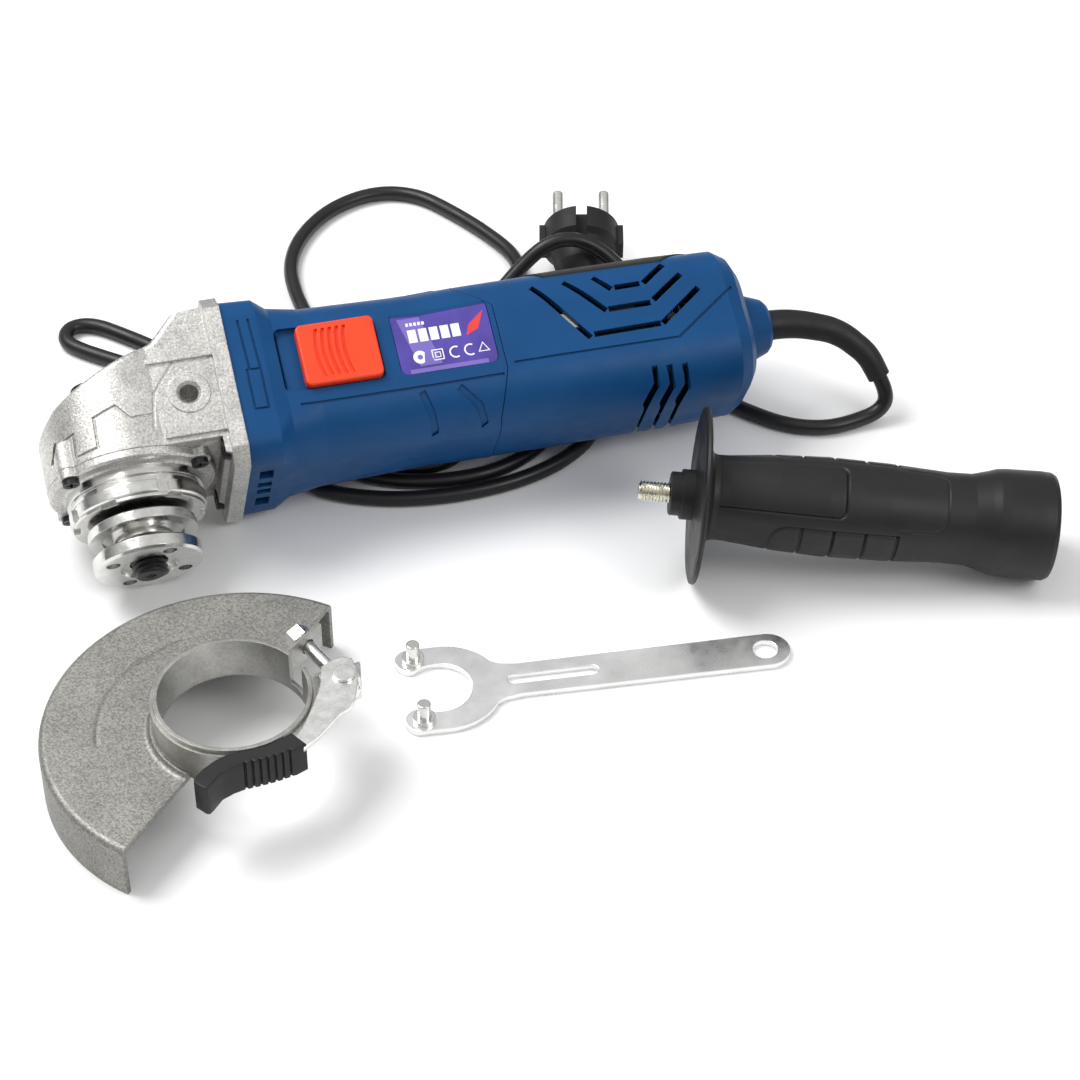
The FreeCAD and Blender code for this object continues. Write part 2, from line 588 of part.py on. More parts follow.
def coil_spring(start, direction, length, radius, wire, turns):
    """A compression spring stood in for by flat closed turns joined by a thin back bar."""
    turn_step = (length - 2 * wire) / turns
    rings = []
    for k in range(turns + 1):
        rings.append(tube(radius + wire, radius - wire, (0, 0, k * turn_step), Z_AXIS, 2 * wire))
    bar = block((radius - 0.7 * wire, radius + 0.7 * wire), (-wire, wire), (wire, length - wire))
    spring = fuse(rings + [bar])
    spring.Placement = Placement(Vector(*start), Rotation(Z_AXIS, direction))
    return spring


nodes["lock_spring"] = coil_spring((LOCK_X, SPRING_LOW, 0), Y_AXIS, SPRING_HIGH - SPRING_LOW, 4.6,
                                   SPRING_WIRE, 4)

# ------------------------------------------------------------------ armature
PINION_END = CONE_OUTER + 2.0
REAR_BEARING_START = 142.0
shaft = turned_x([(CONE_INNER, 0), (CONE_INNER, SHAFT_RADIUS - 1.6), (PINION_END, SHAFT_RADIUS - 1.6),
                  (PINION_END, SHAFT_RADIUS), (REAR_BEARING_START - 2, SHAFT_RADIUS),
                  (REAR_BEARING_START - 2, SHAFT_RADIUS - 0.5), (REAR_BEARING_START + 7,
                                                                 SHAFT_RADIUS - 0.5),
                  (REAR_BEARING_START + 7, 0)])
nodes["armature_shaft"] = shaft
CORE_END = CORE_START + CORE_LENGTH
core = tube(CORE_RADIUS, SHAFT_RADIUS, (CORE_START, 0, 0), X_AXIS, CORE_LENGTH)
core_slot = block((CORE_START - 1, CORE_END + 1), (CORE_RADIUS - 7, CORE_RADIUS - 1.5), (-1.6, 1.6))
core_mouth = block((CORE_START - 1, CORE_END + 1), (CORE_RADIUS - 2, CORE_RADIUS + 1), (-0.8, 0.8))
nodes["armature_core"] = cut(core, copies(core_slot, 12, X_AXIS) + copies(core_mouth, 12, X_AXIS))
front_coil = turned_x([(CORE_START - 7, 8), (CORE_START - 5, CORE_RADIUS - 3),
                       (CORE_START, CORE_RADIUS - 1.6), (CORE_START, SHAFT_RADIUS),
                       (CORE_START - 7, SHAFT_RADIUS)])
rear_coil = turned_x([(CORE_END, SHAFT_RADIUS), (CORE_END, CORE_RADIUS - 1.6),
                      (CORE_END + 6, CORE_RADIUS - 4), (CORE_END + 10, 11),
                      (CORE_END + 10, SHAFT_RADIUS)])
slot_fill = block((CORE_START, CORE_END), (CORE_RADIUS - 6.9, CORE_RADIUS - 1.7), (-1.5, 1.5))
nodes["armature_winding"] = fuse([front_coil, rear_coil] + copies(slot_fill, 12, X_AXIS))
COMMUTATOR_END = COMMUTATOR_START + COMMUTATOR_LENGTH
bars = tube(COMMUTATOR_RADIUS, SHAFT_RADIUS, (COMMUTATOR_START, 0, 0), X_AXIS, COMMUTATOR_LENGTH)
bar_gap = block((COMMUTATOR_START - 1, COMMUTATOR_END + 1), (COMMUTATOR_RADIUS - 1, COMMUTATOR_RADIUS + 1),
                (-0.25, 0.25))
hooks = tube(COMMUTATOR_RADIUS + 1.4, SHAFT_RADIUS, (COMMUTATOR_START, 0, 0), X_AXIS, 2.2)
nodes["commutator"] = cut(fuse([bars, hooks]), copies(bar_gap, 24, X_AXIS))
FAN_END = FAN_START + FAN_DEPTH
fan_disc = fuse([tube(FAN_RADIUS, SHAFT_RADIUS, (FAN_END - 1.6, 0, 0), X_AXIS, 1.6),
                 tube(8.0, SHAFT_RADIUS, (FAN_START, 0, 0), X_AXIS, FAN_DEPTH)])
blade = block((FAN_START, FAN_END - 1), (7.5, FAN_RADIUS - 0.3), (-0.7, 0.7))
blade.rotate(Vector(0, 14, 0), X_AXIS, 18)
nodes["fan"] = fuse([fan_disc] + copies(blade, 16, X_AXIS))


def ball_bearing(x, length, outer, bore):
    """Outer race, shield and inner race in one stand-in ring."""
    race = 0.24 * (outer - bore)
    return fuse([tube(outer, outer - race, (x, 0, 0), X_AXIS, length),
                 tube(outer - race * 0.5, bore + race * 0.5, (x + 0.6, 0, 0), X_AXIS, length - 1.2),
                 tube(bore + race, bore, (x, 0, 0), X_AXIS, length)])


nodes["front_bearing"] = ball_bearing(FRONT_BEARING_START, FRONT_BEARING_LENGTH, FRONT_BEARING_RADIUS,
                                      SHAFT_RADIUS + RUNNING_CLEARANCE)
REAR_BEARING_OUTER = 9.5
nodes["rear_bearing"] = ball_bearing(REAR_BEARING_START, 6.0, REAR_BEARING_OUTER,
                                     SHAFT_RADIUS - 0.5 + RUNNING_CLEARANCE)
boot_end = REAR_BEARING_START + 8.5
nodes["bearing_boot"] = turned_x([(REAR_BEARING_START, REAR_BEARING_OUTER),
                                  (REAR_BEARING_START, REAR_BEARING_OUTER + 1.8),
                                  (boot_end, REAR_BEARING_OUTER + 1.8), (boot_end, 0), (boot_end - 1.2, 0),
                                  (boot_end - 1.2, REAR_BEARING_OUTER)])

# ------------------------------------------------------------------ stator
STATOR_BORE = CORE_RADIUS + STATOR_AIR_GAP
stator_ring = tube(STATOR_OUTER, STATOR_BORE, (CORE_START, 0, 0), X_AXIS, CORE_LENGTH)
window = block((CORE_START - 1, CORE_END + 1), (-6.5, 6.5), (STATOR_BORE - 1.5, STATOR_OUTER - 1.6))
windows = [window, window.mirror(ORIGIN, Z_AXIS)]
nodes["stator_core"] = cut(stator_ring, windows)


def field_coil(side):
    """One field coil: a loop through both windows with its end turns outside the stack."""
    low = STATOR_BORE + 0.3
    high = STATOR_OUTER - 1.8
    arc = tube(high, low, (CORE_START - 6, 0, 0), X_AXIS, CORE_LENGTH + 12)
    wedge = block((CORE_START - 7, CORE_END + 7), (-6.3, 6.3), (0, FAR))
    ends = arc.cut(block((CORE_START, CORE_END), (-FAR, FAR), (-FAR, FAR)))
    runs = arc.common(wedge)
    coil = fuse([ends.common(block((-FAR, FAR), (-16, 16), (0, FAR))), runs])
    return coil if side > 0 else coil.mirror(ORIGIN, Z_AXIS)


nodes["field_coils"] = Part.makeCompound([field_coil(1), field_coil(-1)])

# ------------------------------------------------------------------ motor housing and rear cover
COLLAR_BACK = 52.5
FRONT_STATIONS = [(PLATE_BACK + 0.05, COLLAR_HALF, COLLAR_HALF, 9.0),
                  (COLLAR_BACK, COLLAR_HALF, COLLAR_HALF - 0.6, 10.0),
                  (58.0, HOUSING_HALF_HEIGHT + 0.6, HOUSING_HALF_WIDTH + 0.6, HOUSING_CORNER - 4),
                  (70.0, HOUSING_HALF_HEIGHT, HOUSING_HALF_WIDTH, HOUSING_CORNER),
                  (112.0, HOUSING_HALF_HEIGHT - 1.0, HOUSING_HALF_WIDTH - 0.6, HOUSING_CORNER),
                  (150.0, HOUSING_HALF_HEIGHT, HOUSING_HALF_WIDTH - 0.4, HOUSING_CORNER)]
REAR_STATIONS = [(125.0, HOUSING_HALF_HEIGHT - 0.6, HOUSING_HALF_WIDTH - 0.5, HOUSING_CORNER),
                 (160.0, REAR_HALF_HEIGHT, REAR_HALF_WIDTH + 0.6, HOUSING_CORNER),
                 (205.0, REAR_HALF_HEIGHT, REAR_HALF_WIDTH, HOUSING_CORNER),
                 (REAR_END - 8, REAR_HALF_HEIGHT - 0.8, REAR_HALF_WIDTH - 0.8, HOUSING_CORNER - 1),
                 (REAR_END - 3, REAR_HALF_HEIGHT - 3.6, REAR_HALF_WIDTH - 3.6, HOUSING_CORNER - 3),
                 (REAR_END, REAR_HALF_HEIGHT - 8, REAR_HALF_WIDTH - 8, HOUSING_CORNER - 6)]
SEAM_LINE = [(SEAM_X - 12, FAR), (SEAM_X - 12, 25), (SEAM_X, 14), (SEAM_X, -12), (SEAM_X - 4.5, -27),
             (SEAM_X - 4.5, -FAR)]


def seam_side(shift):
    """Everything on the head side of the zigzag seam, shifted along the axis."""
    outline = [(x + shift, y) for x, y in SEAM_LINE] + [(-FAR, -FAR), (-FAR, FAR)]
    return prism_z(outline, -FAR, FAR)


def on_switch_side(x, y, width, length, low, high, corner):
    """An upright block with rounded corners over the switch side."""
    shape = block((x - length / 2, x + length / 2), (y - width / 2, y + width / 2), (low, high))
    return softened(shape, corner, lambda e: abs(e.tangentAt(e.FirstParameter).z) > 0.9)


FRONT_GRIP = ((69, -15), (128, -15), (128, 9), (122, 14), (80, 11), (69, 7))
REAR_GRIP = ((131, -15), (228, -15), (228, 8), (209, 23), (163, 23), (157, 14), (131, 10))


def grip_pad(stations, outline, outer, inner, inset=0.0):
    """An overmoulded pad on the back of the tool, let into the housing wall; outline is seen along Y."""
    skin = loft(stations, outer).cut(loft(stations, inner))
    face = polygon([(x, 12, z) for x, z in outline])
    if inset:
        face = face.makeOffset2D(-inset)
    return skin.common(face.extrude(Vector(0, FAR, 0)))


LABEL_FLOOR = HOUSING_HALF_WIDTH - 1.6
FRONT_SHELL = loft(FRONT_STATIONS)
FRONT_INSIDE = loft([(PLATE_BACK - 1, COLLAR_HALF, COLLAR_HALF, 9.0)] + FRONT_STATIONS[1:], -HOUSING_WALL)
front_pad_space = grip_pad(FRONT_STATIONS, FRONT_GRIP, 2.0, -0.7)
front_side = seam_side(0)


LIP_STATIONS = [(116.0, HOUSING_HALF_HEIGHT - 0.9, HOUSING_HALF_WIDTH - 0.6, HOUSING_CORNER),
                (REAR_BEARING_START + 7.5, HOUSING_HALF_HEIGHT - 0.5, HOUSING_HALF_WIDTH - 0.6,
                 HOUSING_CORNER)]
LIP_GAP = 0.6                 # between the locating lip and the rear cover's wall
LIP_THICKNESS = 1.8
ROD_TOP = REAR_HALF_WIDTH - HOUSING_WALL - 0.15
ROD_THICKNESS = 1.4
ROD_WIDTH = 6.0
SWITCH_BODY_X = (172.0, 198.0)


def rod_way(x_range):
    """Room for the flat switch rod under the housing wall."""
    return block(x_range, (SWITCH_Y - ROD_WIDTH / 2 - 0.6, SWITCH_Y + ROD_WIDTH / 2 + 0.6),
                 (ROD_TOP - ROD_THICKNESS - 0.5, ROD_TOP + 0.3))


def locating_lip():
    """The front moulding's inner rim, which the rear cover slides over, with the rear bearing's web."""
    outside = loft(LIP_STATIONS, -HOUSING_WALL - LIP_GAP)
    inside = loft([(LIP_STATIONS[0][0] - 1,) + LIP_STATIONS[0][1:],
                   (LIP_STATIONS[1][0] + 1,) + LIP_STATIONS[1][1:]],
                  -HOUSING_WALL - LIP_GAP - LIP_THICKNESS)
    anchor = loft([LIP_STATIONS[0], (LIP_STATIONS[0][0] + 5,) + LIP_STATIONS[0][1:]], -HOUSING_WALL + 0.3)
    rim = fuse([outside, anchor]).cut(inside)
    web = tube(25.0, REAR_BEARING_OUTER + 1.9, (REAR_BEARING_START - 0.5, 0, 0), X_AXIS, 8.0)
    windows = []
    for angle in (0, 90, 180, 270):
        window = block((REAR_BEARING_START - 2, REAR_BEARING_START + 10), (14.0, 21.5), (-9, 9))
        window.rotate(ORIGIN, X_AXIS, angle)
        windows.append(window)
    return fuse([rim, cut(web, windows)])


COLLAR_LINES = (((45.2, 1.5), (50.2, 1.5), (50.2, -14.0), (45.2, -14.0), (45.2, 1.5)),
                ((46.2, 1.5), (45.6, 21.0)), ((50.2, 1.5), (49.4, 21.0)))
FINGER_RIPPLES = (((107.4, -17.0), (109.5, -23.0), (110.4, -27.0)),
                  ((121.9, -17.0), (127.5, -23.0), (129.0, -27.0)))


def make_motor_housing():
    walls = FRONT_SHELL.cut(FRONT_INSIDE).common(front_side)
    bosses = []
    for sy in (-1, 1):
        for sz in (-1, 1):
            boss = rod(5.0, (PLATE_BACK + 0.05, sy * PLATE_SCREW, sz * PLATE_SCREW), X_AXIS, 15.0)
            bosses.append(boss.common(FRONT_SHELL))
    ribs = []
    for angle in (45, 135, 225, 315):
        rib = block((CORE_START, CORE_START + CORE_LENGTH), (STATOR_OUTER + 0.1, FAR), (-1.2, 1.2))
        rib.rotate(ORIGIN, X_AXIS, angle)
        ribs.append(rib.common(FRONT_SHELL))
    housing = fuse([walls, locating_lip()] + bosses + ribs)
    recess = on_switch_side(SWITCH_X - 3.5, SWITCH_Y, SWITCH_WIDTH + 1.2,
                            SWITCH_LENGTH + SWITCH_TRAVEL + 2.6,
                            HOUSING_HALF_WIDTH - 2.0, FAR, 2.5)
    slot = block((SWITCH_X - 14, SWITCH_X + 8), (SWITCH_Y - 4.2, SWITCH_Y + 4.2), (20, FAR))
    label_pocket = on_switch_side(LABEL_X, SWITCH_Y, LABEL_WIDTH, LABEL_LENGTH, LABEL_FLOOR, FAR, 3.0)
    exits = []
    for side in (90, 270):
        for across, half in ((-13.0, 3.6), (-3.2, 2.0), (3.2, 2.0), (13.0, 3.6)):
            window = block((44.2, 49.4), (across - half, across + half), (26, FAR))
            window.rotate(ORIGIN, X_AXIS, side)
            exits.append(window)
    screw_holes = [rod(2.1, (PLATE_BACK - 1, sy * PLATE_SCREW, sz * PLATE_SCREW), X_AXIS, 15.5)
                   for sy in (-1, 1) for sz in (-1, 1)]
    way = rod_way((LIP_STATIONS[0][0] - 2, SWITCH_BODY_X[0]))
    below = loft(FRONT_STATIONS, -0.7)
    lines = []
    for points in COLLAR_LINES:
        lines += engraved(points, 0.8, below)
    lines += engraved(((62.5, -14.0), (138.0, -14.0)), 0.9, below)
    for points in FINGER_RIPPLES:
        lines += engraved(points, 2.6, below)
    return cut(housing, [recess, slot, label_pocket, front_pad_space, way] + exits + lines + screw_holes)


nodes["motor_housing"] = make_motor_housing()
nodes["front_grip"] = grip_pad(FRONT_STATIONS, FRONT_GRIP, GRIP_THICKNESS - 0.7, -0.7, 0.15)

REAR_SHELL = loft(REAR_STATIONS)
REAR_INSIDE = loft(REAR_STATIONS[:4] + [(REAR_END - 4, REAR_HALF_HEIGHT - 6, REAR_HALF_WIDTH - 6,
                                         HOUSING_CORNER - 5)],
                   -HOUSING_WALL)
rear_pad_space = grip_pad(REAR_STATIONS, REAR_GRIP, 2.0, -0.7)


VENT_SLOTS = (((157.1, 18.1), (173.0, -4.4)), ((176.4, -4.2), (200.2, -3.8)), ((203.0, -3.2), (218.2, 7.7)),
              ((169.8, 18.3), (181.3, 5.4)), ((184.2, 4.9), (198.4, 5.1)), ((201.8, 6.7), (213.0, 14.5)),
              ((181.4, 18.5), (185.3, 13.8)), ((188.6, 13.4), (196.3, 13.5)), ((199.7, 14.2), (208.0, 20.4)))
CHEEK_SLOTS = (((195.3, -20.5), (195.6, -25.1), (192.0, -29.0)),
               ((201.1, -20.8), (201.8, -25.8), (198.7, -29.2)),
               ((207.1, -21.1), (207.8, -26.4), (204.8, -29.2)))


def air_intakes():
    """Three nests of angular slots on the flat, and three bent slots on the cheek below them."""
    tools = [bar_cutter(line, 2.3, 15.0, FAR) for line in VENT_SLOTS]
    for points in CHEEK_SLOTS:
        tools += [bar_cutter(line, 2.2, 0.0, FAR) for line in zip(points, points[1:])]
    return tools


INTAKES = air_intakes()
BOSS_BORE = SLEEVE_START_RADIUS + 0.3


def make_rear_cover():
    shell = REAR_SHELL.cut(REAR_INSIDE).cut(seam_side(SEAM_GAP))
    boss = turned_x([(REAR_END - 3.5, 0), (REAR_END - 3.5, 15.5), (REAR_END, 14.5), (BOSS_END - 1.5, 10.5),
                     (BOSS_END, 9.0),
                     (BOSS_END, 0)])
    rail = block((165, 225), (-8, -5), (-REAR_HALF_WIDTH + 2, -REAR_HALF_WIDTH + 8))
    cover = fuse([shell, boss, rail])
    bore = rod(BOSS_BORE, (REAR_END - 10, 0, 0), X_AXIS, 30)
    mirrored = [tool.mirror(ORIGIN, Z_AXIS) for tool in INTAKES]
    grooves = engraved(((143.5, -10.3), (207.0, -10.3), (232.0, 7.0)), 0.9, loft(REAR_STATIONS, -0.7))
    return cut(cover, [bore, rear_pad_space] + grooves + INTAKES + mirrored)


nodes["rear_cover"] = make_rear_cover()
rear_pad = grip_pad(REAR_STATIONS, REAR_GRIP, GRIP_THICKNESS - 0.7, -0.7, 0.15)
nodes["rear_grip"] = rear_pad.cut(seam_side(SEAM_GAP + 0.1))
plate_outline = on_switch_side(LABEL_X, SWITCH_Y, LABEL_WIDTH - 0.4, LABEL_LENGTH - 0.4, LABEL_FLOOR + 0.02,
                               FAR, 2.8)
nodes["nameplate"] = plate_outline.common(loft(FRONT_STATIONS, -0.35))

# ------------------------------------------------------------------ switch
slider = on_switch_side(SWITCH_X, SWITCH_Y, SWITCH_WIDTH, SWITCH_LENGTH, HOUSING_HALF_WIDTH - 1.7,
                        HOUSING_HALF_WIDTH + 2.6, 2.2)
slider = softened(slider, 0.9, lambda e: e.BoundBox.ZMin > HOUSING_HALF_WIDTH + 2.5)
grooves = []
for k in range(5):
    radius = 34.0
    x = SWITCH_X + 2.0 - 2.6 * k
    ring = tube(radius + 0.6, radius - 0.6, (x + radius, SWITCH_Y, HOUSING_HALF_WIDTH + 1.7), Z_AXIS, 5)
    grooves.append(ring.common(block((x - 4, x + 4), (SWITCH_Y - 9.5, SWITCH_Y + 9.5), (0, FAR))))
slider = cut(slider, grooves)
stem = block((SWITCH_X - 5, SWITCH_X + 5), (SWITCH_Y - 3.8, SWITCH_Y + 3.8),
             (ROD_TOP, HOUSING_HALF_WIDTH - 1.5))
nodes["switch_slider"] = fuse([slider, stem])
nodes["switch_rod"] = block((SWITCH_X - 4, SWITCH_BODY_X[0] - 0.6),
                            (SWITCH_Y - ROD_WIDTH / 2, SWITCH_Y + ROD_WIDTH / 2),
                            (ROD_TOP - ROD_THICKNESS, ROD_TOP))
nodes["switch_block"] = fuse([block(SWITCH_BODY_X, (SWITCH_Y - 8, SWITCH_Y + 8), (6, 22)),
                              block((SWITCH_BODY_X[0], SWITCH_BODY_X[1] - 4), (SWITCH_Y - 4, SWITCH_Y + 4),
                                    (22, 24.4))])

# ------------------------------------------------------------------ brushes
BRUSH_X = COMMUTATOR_START + COMMUTATOR_LENGTH / 2 + 1.0
BRUSH_LOW = COMMUTATOR_RADIUS + 0.15
BRUSH_LENGTH = 9.0
HOLDER_LOW = COMMUTATOR_RADIUS + 1.6
HOLDER_HIGH = 24.0


def brush_gear():
    """The upper holder, brush and spring; the lower ones are mirrored."""
    half = BRUSH_WIDTH / 2
    holder = block((BRUSH_X - half - 1.2, BRUSH_X + half + 1.2), (HOLDER_LOW, HOLDER_HIGH),
                   (-half - 1.2, half + 1.2))
    hole = block((BRUSH_X - half - 0.1, BRUSH_X + half + 0.1), (HOLDER_LOW - 1, HOLDER_HIGH - 1.0),
                 (-half - 0.1, half + 0.1))
    brush = block((BRUSH_X - half, BRUSH_X + half), (BRUSH_LOW, BRUSH_LOW + BRUSH_LENGTH), (-half, half))
    face = rod(COMMUTATOR_RADIUS + 0.15, (BRUSH_X - 10, 0, 0), X_AXIS, 20)
    spring = coil_spring((BRUSH_X, BRUSH_LOW + BRUSH_LENGTH, 0), Y_AXIS,
                         HOLDER_HIGH - 1.0 - BRUSH_LOW - BRUSH_LENGTH,
                         2.2, 0.25, 3)
    return holder.cut(hole), brush.cut(face), spring


for name, shape in zip(("brush_holders", "carbon_brushes", "brush_springs"), brush_gear()):
    nodes[name] = Part.makeCompound([shape, shape.mirror(ORIGIN, Y_AXIS)])

# ------------------------------------------------------------------ inside the rear cover
nodes["suppressor"] = softened(block((176, 196), (-16, -7), (-14, 6)), 1.5,
                               lambda e: abs(e.tangentAt(e.FirstParameter).x) > 0.9)
CLAMP_X = 216.0
CORD_RADIUS = CORD_DIAMETER / 2
clamp = block((CLAMP_X - 4, CLAMP_X + 4), (-12, 12), (CORD_RADIUS - 1.0, CORD_RADIUS + 3))
clamp = clamp.cut(rod(CORD_RADIUS, (CLAMP_X - 10, 0, 0), X_AXIS, 20))
nodes["cord_clamp"] = cut(clamp, [rod(1.7, (CLAMP_X, sy * 9, 0), Z_AXIS, 10) for sy in (-1, 1)])
clamp_top = (CORD_RADIUS + 3)
nodes["clamp_screws"] = Part.makeCompound([pan_head_screw((CLAMP_X, sy * 9, clamp_top), Z_AXIS * -1, 1.65,
                                                          9.0, 2.8, 1.8)
                                           for sy in (-1, 1)])
clamp_post = block((CLAMP_X - 5, CLAMP_X + 5), (-13, 13), (-REAR_HALF_WIDTH + 1.5, CORD_RADIUS - 1.6))
clamp_post = cut(clamp_post, [rod(CORD_RADIUS + 0.05, (CLAMP_X - 10, 0, 0), X_AXIS, 20)]
                 + [rod(1.7, (CLAMP_X, sy * 9, -5), Z_AXIS, 30) for sy in (-1, 1)])
nodes["rear_cover"] = fuse([nodes["rear_cover"], clamp_post.common(REAR_SHELL)])

# ------------------------------------------------------------------ laying the grinder down
LIE = Placement(GRINDER_AT, Rotation(Y_AXIS, PITCH).multiply(Rotation(X_AXIS, ROLL)))


def on_table(shape):
    placed = shape.copy()
    placed.Placement = LIE.multiply(placed.Placement)
    return placed


for name in list(nodes):
    nodes[name] = on_table(nodes[name])

# ------------------------------------------------------------------ mains lead, from the boss to the plug
def bend_radius(before, corner, after):
    first = (corner - before)
    second = (after - corner)
    turn = first.getAngle(second)
    return 0.45 * min(first.Length, second.Length) / math.tan(turn / 2)


def rounded_path(points):
    """Straight runs joined by tangent arcs, one arc at each inner point."""
    edges = []
    start = points[0]
    for before, corner, after in zip(points, points[1:], points[2:]):
        reach = 0.45 * min((corner - before).Length, (after - corner).Length)
        into = (corner - before).normalize()
        out = (after - corner).normalize()
        begin = corner - into * reach
        end = corner + out * reach
        radius = bend_radius(before, corner, after)
        half_turn = into.getAngle(out) / 2
        inward = (out - into).normalize()
        middle = corner + inward * (radius / math.cos(half_turn) - radius)
        edges.append(Part.LineSegment(start, begin).toShape())
        edges.append(Part.Arc(begin, middle, end).toShape())
        start = end
    edges.append(Part.LineSegment(start, points[-1]).toShape())
    return Part.Wire(edges)


def circle_at(centre, direction, radius):
    return Part.Wire(Part.makeCircle(radius, centre, direction))


FLOOR_Z = CORD_RADIUS + 0.02
BOSS_FACE = LIE.multVec(Vector(BOSS_END - 12, 0, 0))
SLEEVE_ROUTE = [BOSS_FACE, LIE.multVec(Vector(BOSS_END + 10, 0, 0)), Vector(134.0, 49.5, 33.0),
                Vector(143.5, 41.0, 26.0),
                Vector(147.0, 36.0, 18.0)]
CORD_ROUTE = [Vector(147.0, 36.0, 18.0), Vector(149.9, 31.9, 11.5), Vector(146.2, 30.2, 5.4)]
ON_TABLE = (
    (137, 29.8, 0), (124, 28.5, 0), (110, 34, 0), (98, 46, 0), (87, 61, 0), (80, 79, 0),
    (79, 99, 2), (76, 117, 9), (68, 131, 20), (56, 137.5, 28), (43, 138.5, 28), (30, 137, 18),
    (15, 131, 6), (3, 118, 0), (3, 101, 0), (15, 87, 0), (32, 81, 0), (41, 68, 0),
    (36, 50, 0), (20, 37.5, 0), (0, 31.2, 0), (-22, 29.8, 0), (-43, 32.5, 0), (-61, 39, 0),
    (-75, 48, 0), (-80, 62, 0), (-80, 78, 0), (-86, 95, 0), (-98, 111, 0), (-113, 126, 0),
    (-129, 141, 0), (-144, 154, 0), (-152, 163, 0), (-149, 172, 0), (-139, 172, 0), (-127, 160, 0),
    (-112, 143, 0), (-97, 129.5, 0), (-83, 115, 0), (-74, 99, 0), (-69, 81, 0), (-67, 66, 0),
    (-59, 53, 0), (-44, 43.5, 0), (-25, 38.6, 0), (-6, 39, 0), (10, 46, 0), (21, 57, 0),
    (22, 71, 0), (9, 79, 0), (-5, 74.5, 0), (-12, 63, 0), (-16, 53.5, 0), (-26, 48.4, 0),
    (-39, 49.8, 0), (-50, 57, 0), (-57, 69, 0), (-61, 86, 0), (-61, 106, 0), (-57, 126, 0),
    (-54, 146, 0), (-56, 168, 0), (-54, 190, 0), (-44, 209, 0), (-28, 223.5, 0), (-8, 229.5, 0),
    (9, 223, 0), (20, 207, 0), (30, 189, 0), (38, 169, 0), (35, 150, 0), (26, 133, 0),
    (18, 116, 0), (21, 99, 0), (34, 92.5, 0), (46, 98, 0))
CORD_ROUTE += [Vector(x, y, z + FLOOR_Z) for x, y, z in ON_TABLE]
PLUG_LIE = Placement(PLUG_AT, Rotation(Z_AXIS, PLUG_TURN).multiply(Rotation(X_AXIS, PLUG_TILT)))
TAIL_END = PLUG_LIE.multVec(Vector(0, -PLUG_LENGTH, 0))
CORD_ROUTE += [PLUG_LIE.multVec(Vector(0, -PLUG_LENGTH - 10, 0)), TAIL_END]

radii = [bend_radius(*three) for three in zip(CORD_ROUTE, CORD_ROUTE[1:], CORD_ROUTE[2:])]
print("cord bend radii, mm:", " ".join("%.0f" % radius for radius in radii))
cord_path = rounded_path(CORD_ROUTE)
cord = cord_path.makePipeShell([circle_at(CORD_ROUTE[0], CORD_ROUTE[1] - CORD_ROUTE[0], CORD_RADIUS)], True,
                               False)
print("cord length %.0f mm, volume over section times length %.4f"
      % (cord_path.Length, cord.Volume / (math.pi * CORD_RADIUS ** 2 * cord_path.Length)))
nodes["cord"] = cord
inner_lead = rod(CORD_RADIUS - 0.05, (CLAMP_X - 14, 0, 0), X_AXIS, BOSS_END - 12 - CLAMP_X + 14)
nodes["cord_inside"] = on_table(inner_lead)

sleeve_path = rounded_path(SLEEVE_ROUTE)
sleeve_start = circle_at(SLEEVE_ROUTE[0], SLEEVE_ROUTE[1] - SLEEVE_ROUTE[0], SLEEVE_START_RADIUS)
sleeve_end = circle_at(SLEEVE_ROUTE[-1], SLEEVE_ROUTE[-1] - SLEEVE_ROUTE[-2], SLEEVE_END_RADIUS)
nodes["strain_relief"] = sleeve_path.makePipeShell([sleeve_start, sleeve_end], True, False)

# ------------------------------------------------------------------ plug: two pins, pointing along +Y
ring_profile = [(0, 0), (PLUG_RING_RADIUS - 1, 0), (PLUG_RING_RADIUS, -1),
                (PLUG_RING_RADIUS, -PLUG_RING_DEPTH),
                (PLUG_RING_RADIUS - 2.5, -PLUG_RING_DEPTH - 2), (10.5, -22), (7.6, -28), (5.4, -34),
                (5.0, -PLUG_LENGTH), (0, -PLUG_LENGTH)]
plug = turned_y(ring_profile)
top_notch = block((-2.2, 2.2), (-PLUG_RING_DEPTH - 4, 1), (PLUG_RING_RADIUS - 6.5, PLUG_RING_RADIUS + 1))
tabs = [block((min(s * 12, s * 17.2), max(s * 12, s * 17.2)), (-PLUG_RING_DEPTH - 1, -2), (-4.5, 4.5))
        for s in (-1, 1)]
plug = fuse([plug] + tabs)
pin_holes = [rod(PLUG_PIN_RADIUS, (s * PLUG_PIN_PITCH / 2, -8, 0), Y_AXIS, 10) for s in (-1, 1)]
plug = cut(plug, [top_notch] + pin_holes)
pins = []
for s in (-1, 1):
    pin = rod(PLUG_PIN_RADIUS, (s * PLUG_PIN_PITCH / 2, -8, 0), Y_AXIS, 27)
    pins.append(softened(pin, 1.2, lambda e: e.BoundBox.YMin > 18.9))


def lay(shape, placement):
    placed = shape.copy()
    placed.Placement = placement.multiply(placed.Placement)
    return placed


nodes["plug_body"] = lay(plug, PLUG_LIE)
nodes["plug_pins"] = lay(Part.makeCompound(pins), PLUG_LIE)

# ------------------------------------------------------------------ guard: sheet half-round with its clamp
COLLAR_OUTER = COLLAR_INNER + COLLAR_SHEET
BAND_INNER = COLLAR_OUTER
BAND_OUTER = BAND_INNER + BAND_SHEET


def sector(radius, low, high, start, end):
    """A pie slice about Z from start to end degrees."""
    slice_ = Part.makeCylinder(radius, high - low, Vector(0, 0, low), Z_AXIS, end - start)
    slice_.rotate(ORIGIN, Z_AXIS, start)
    return slice_


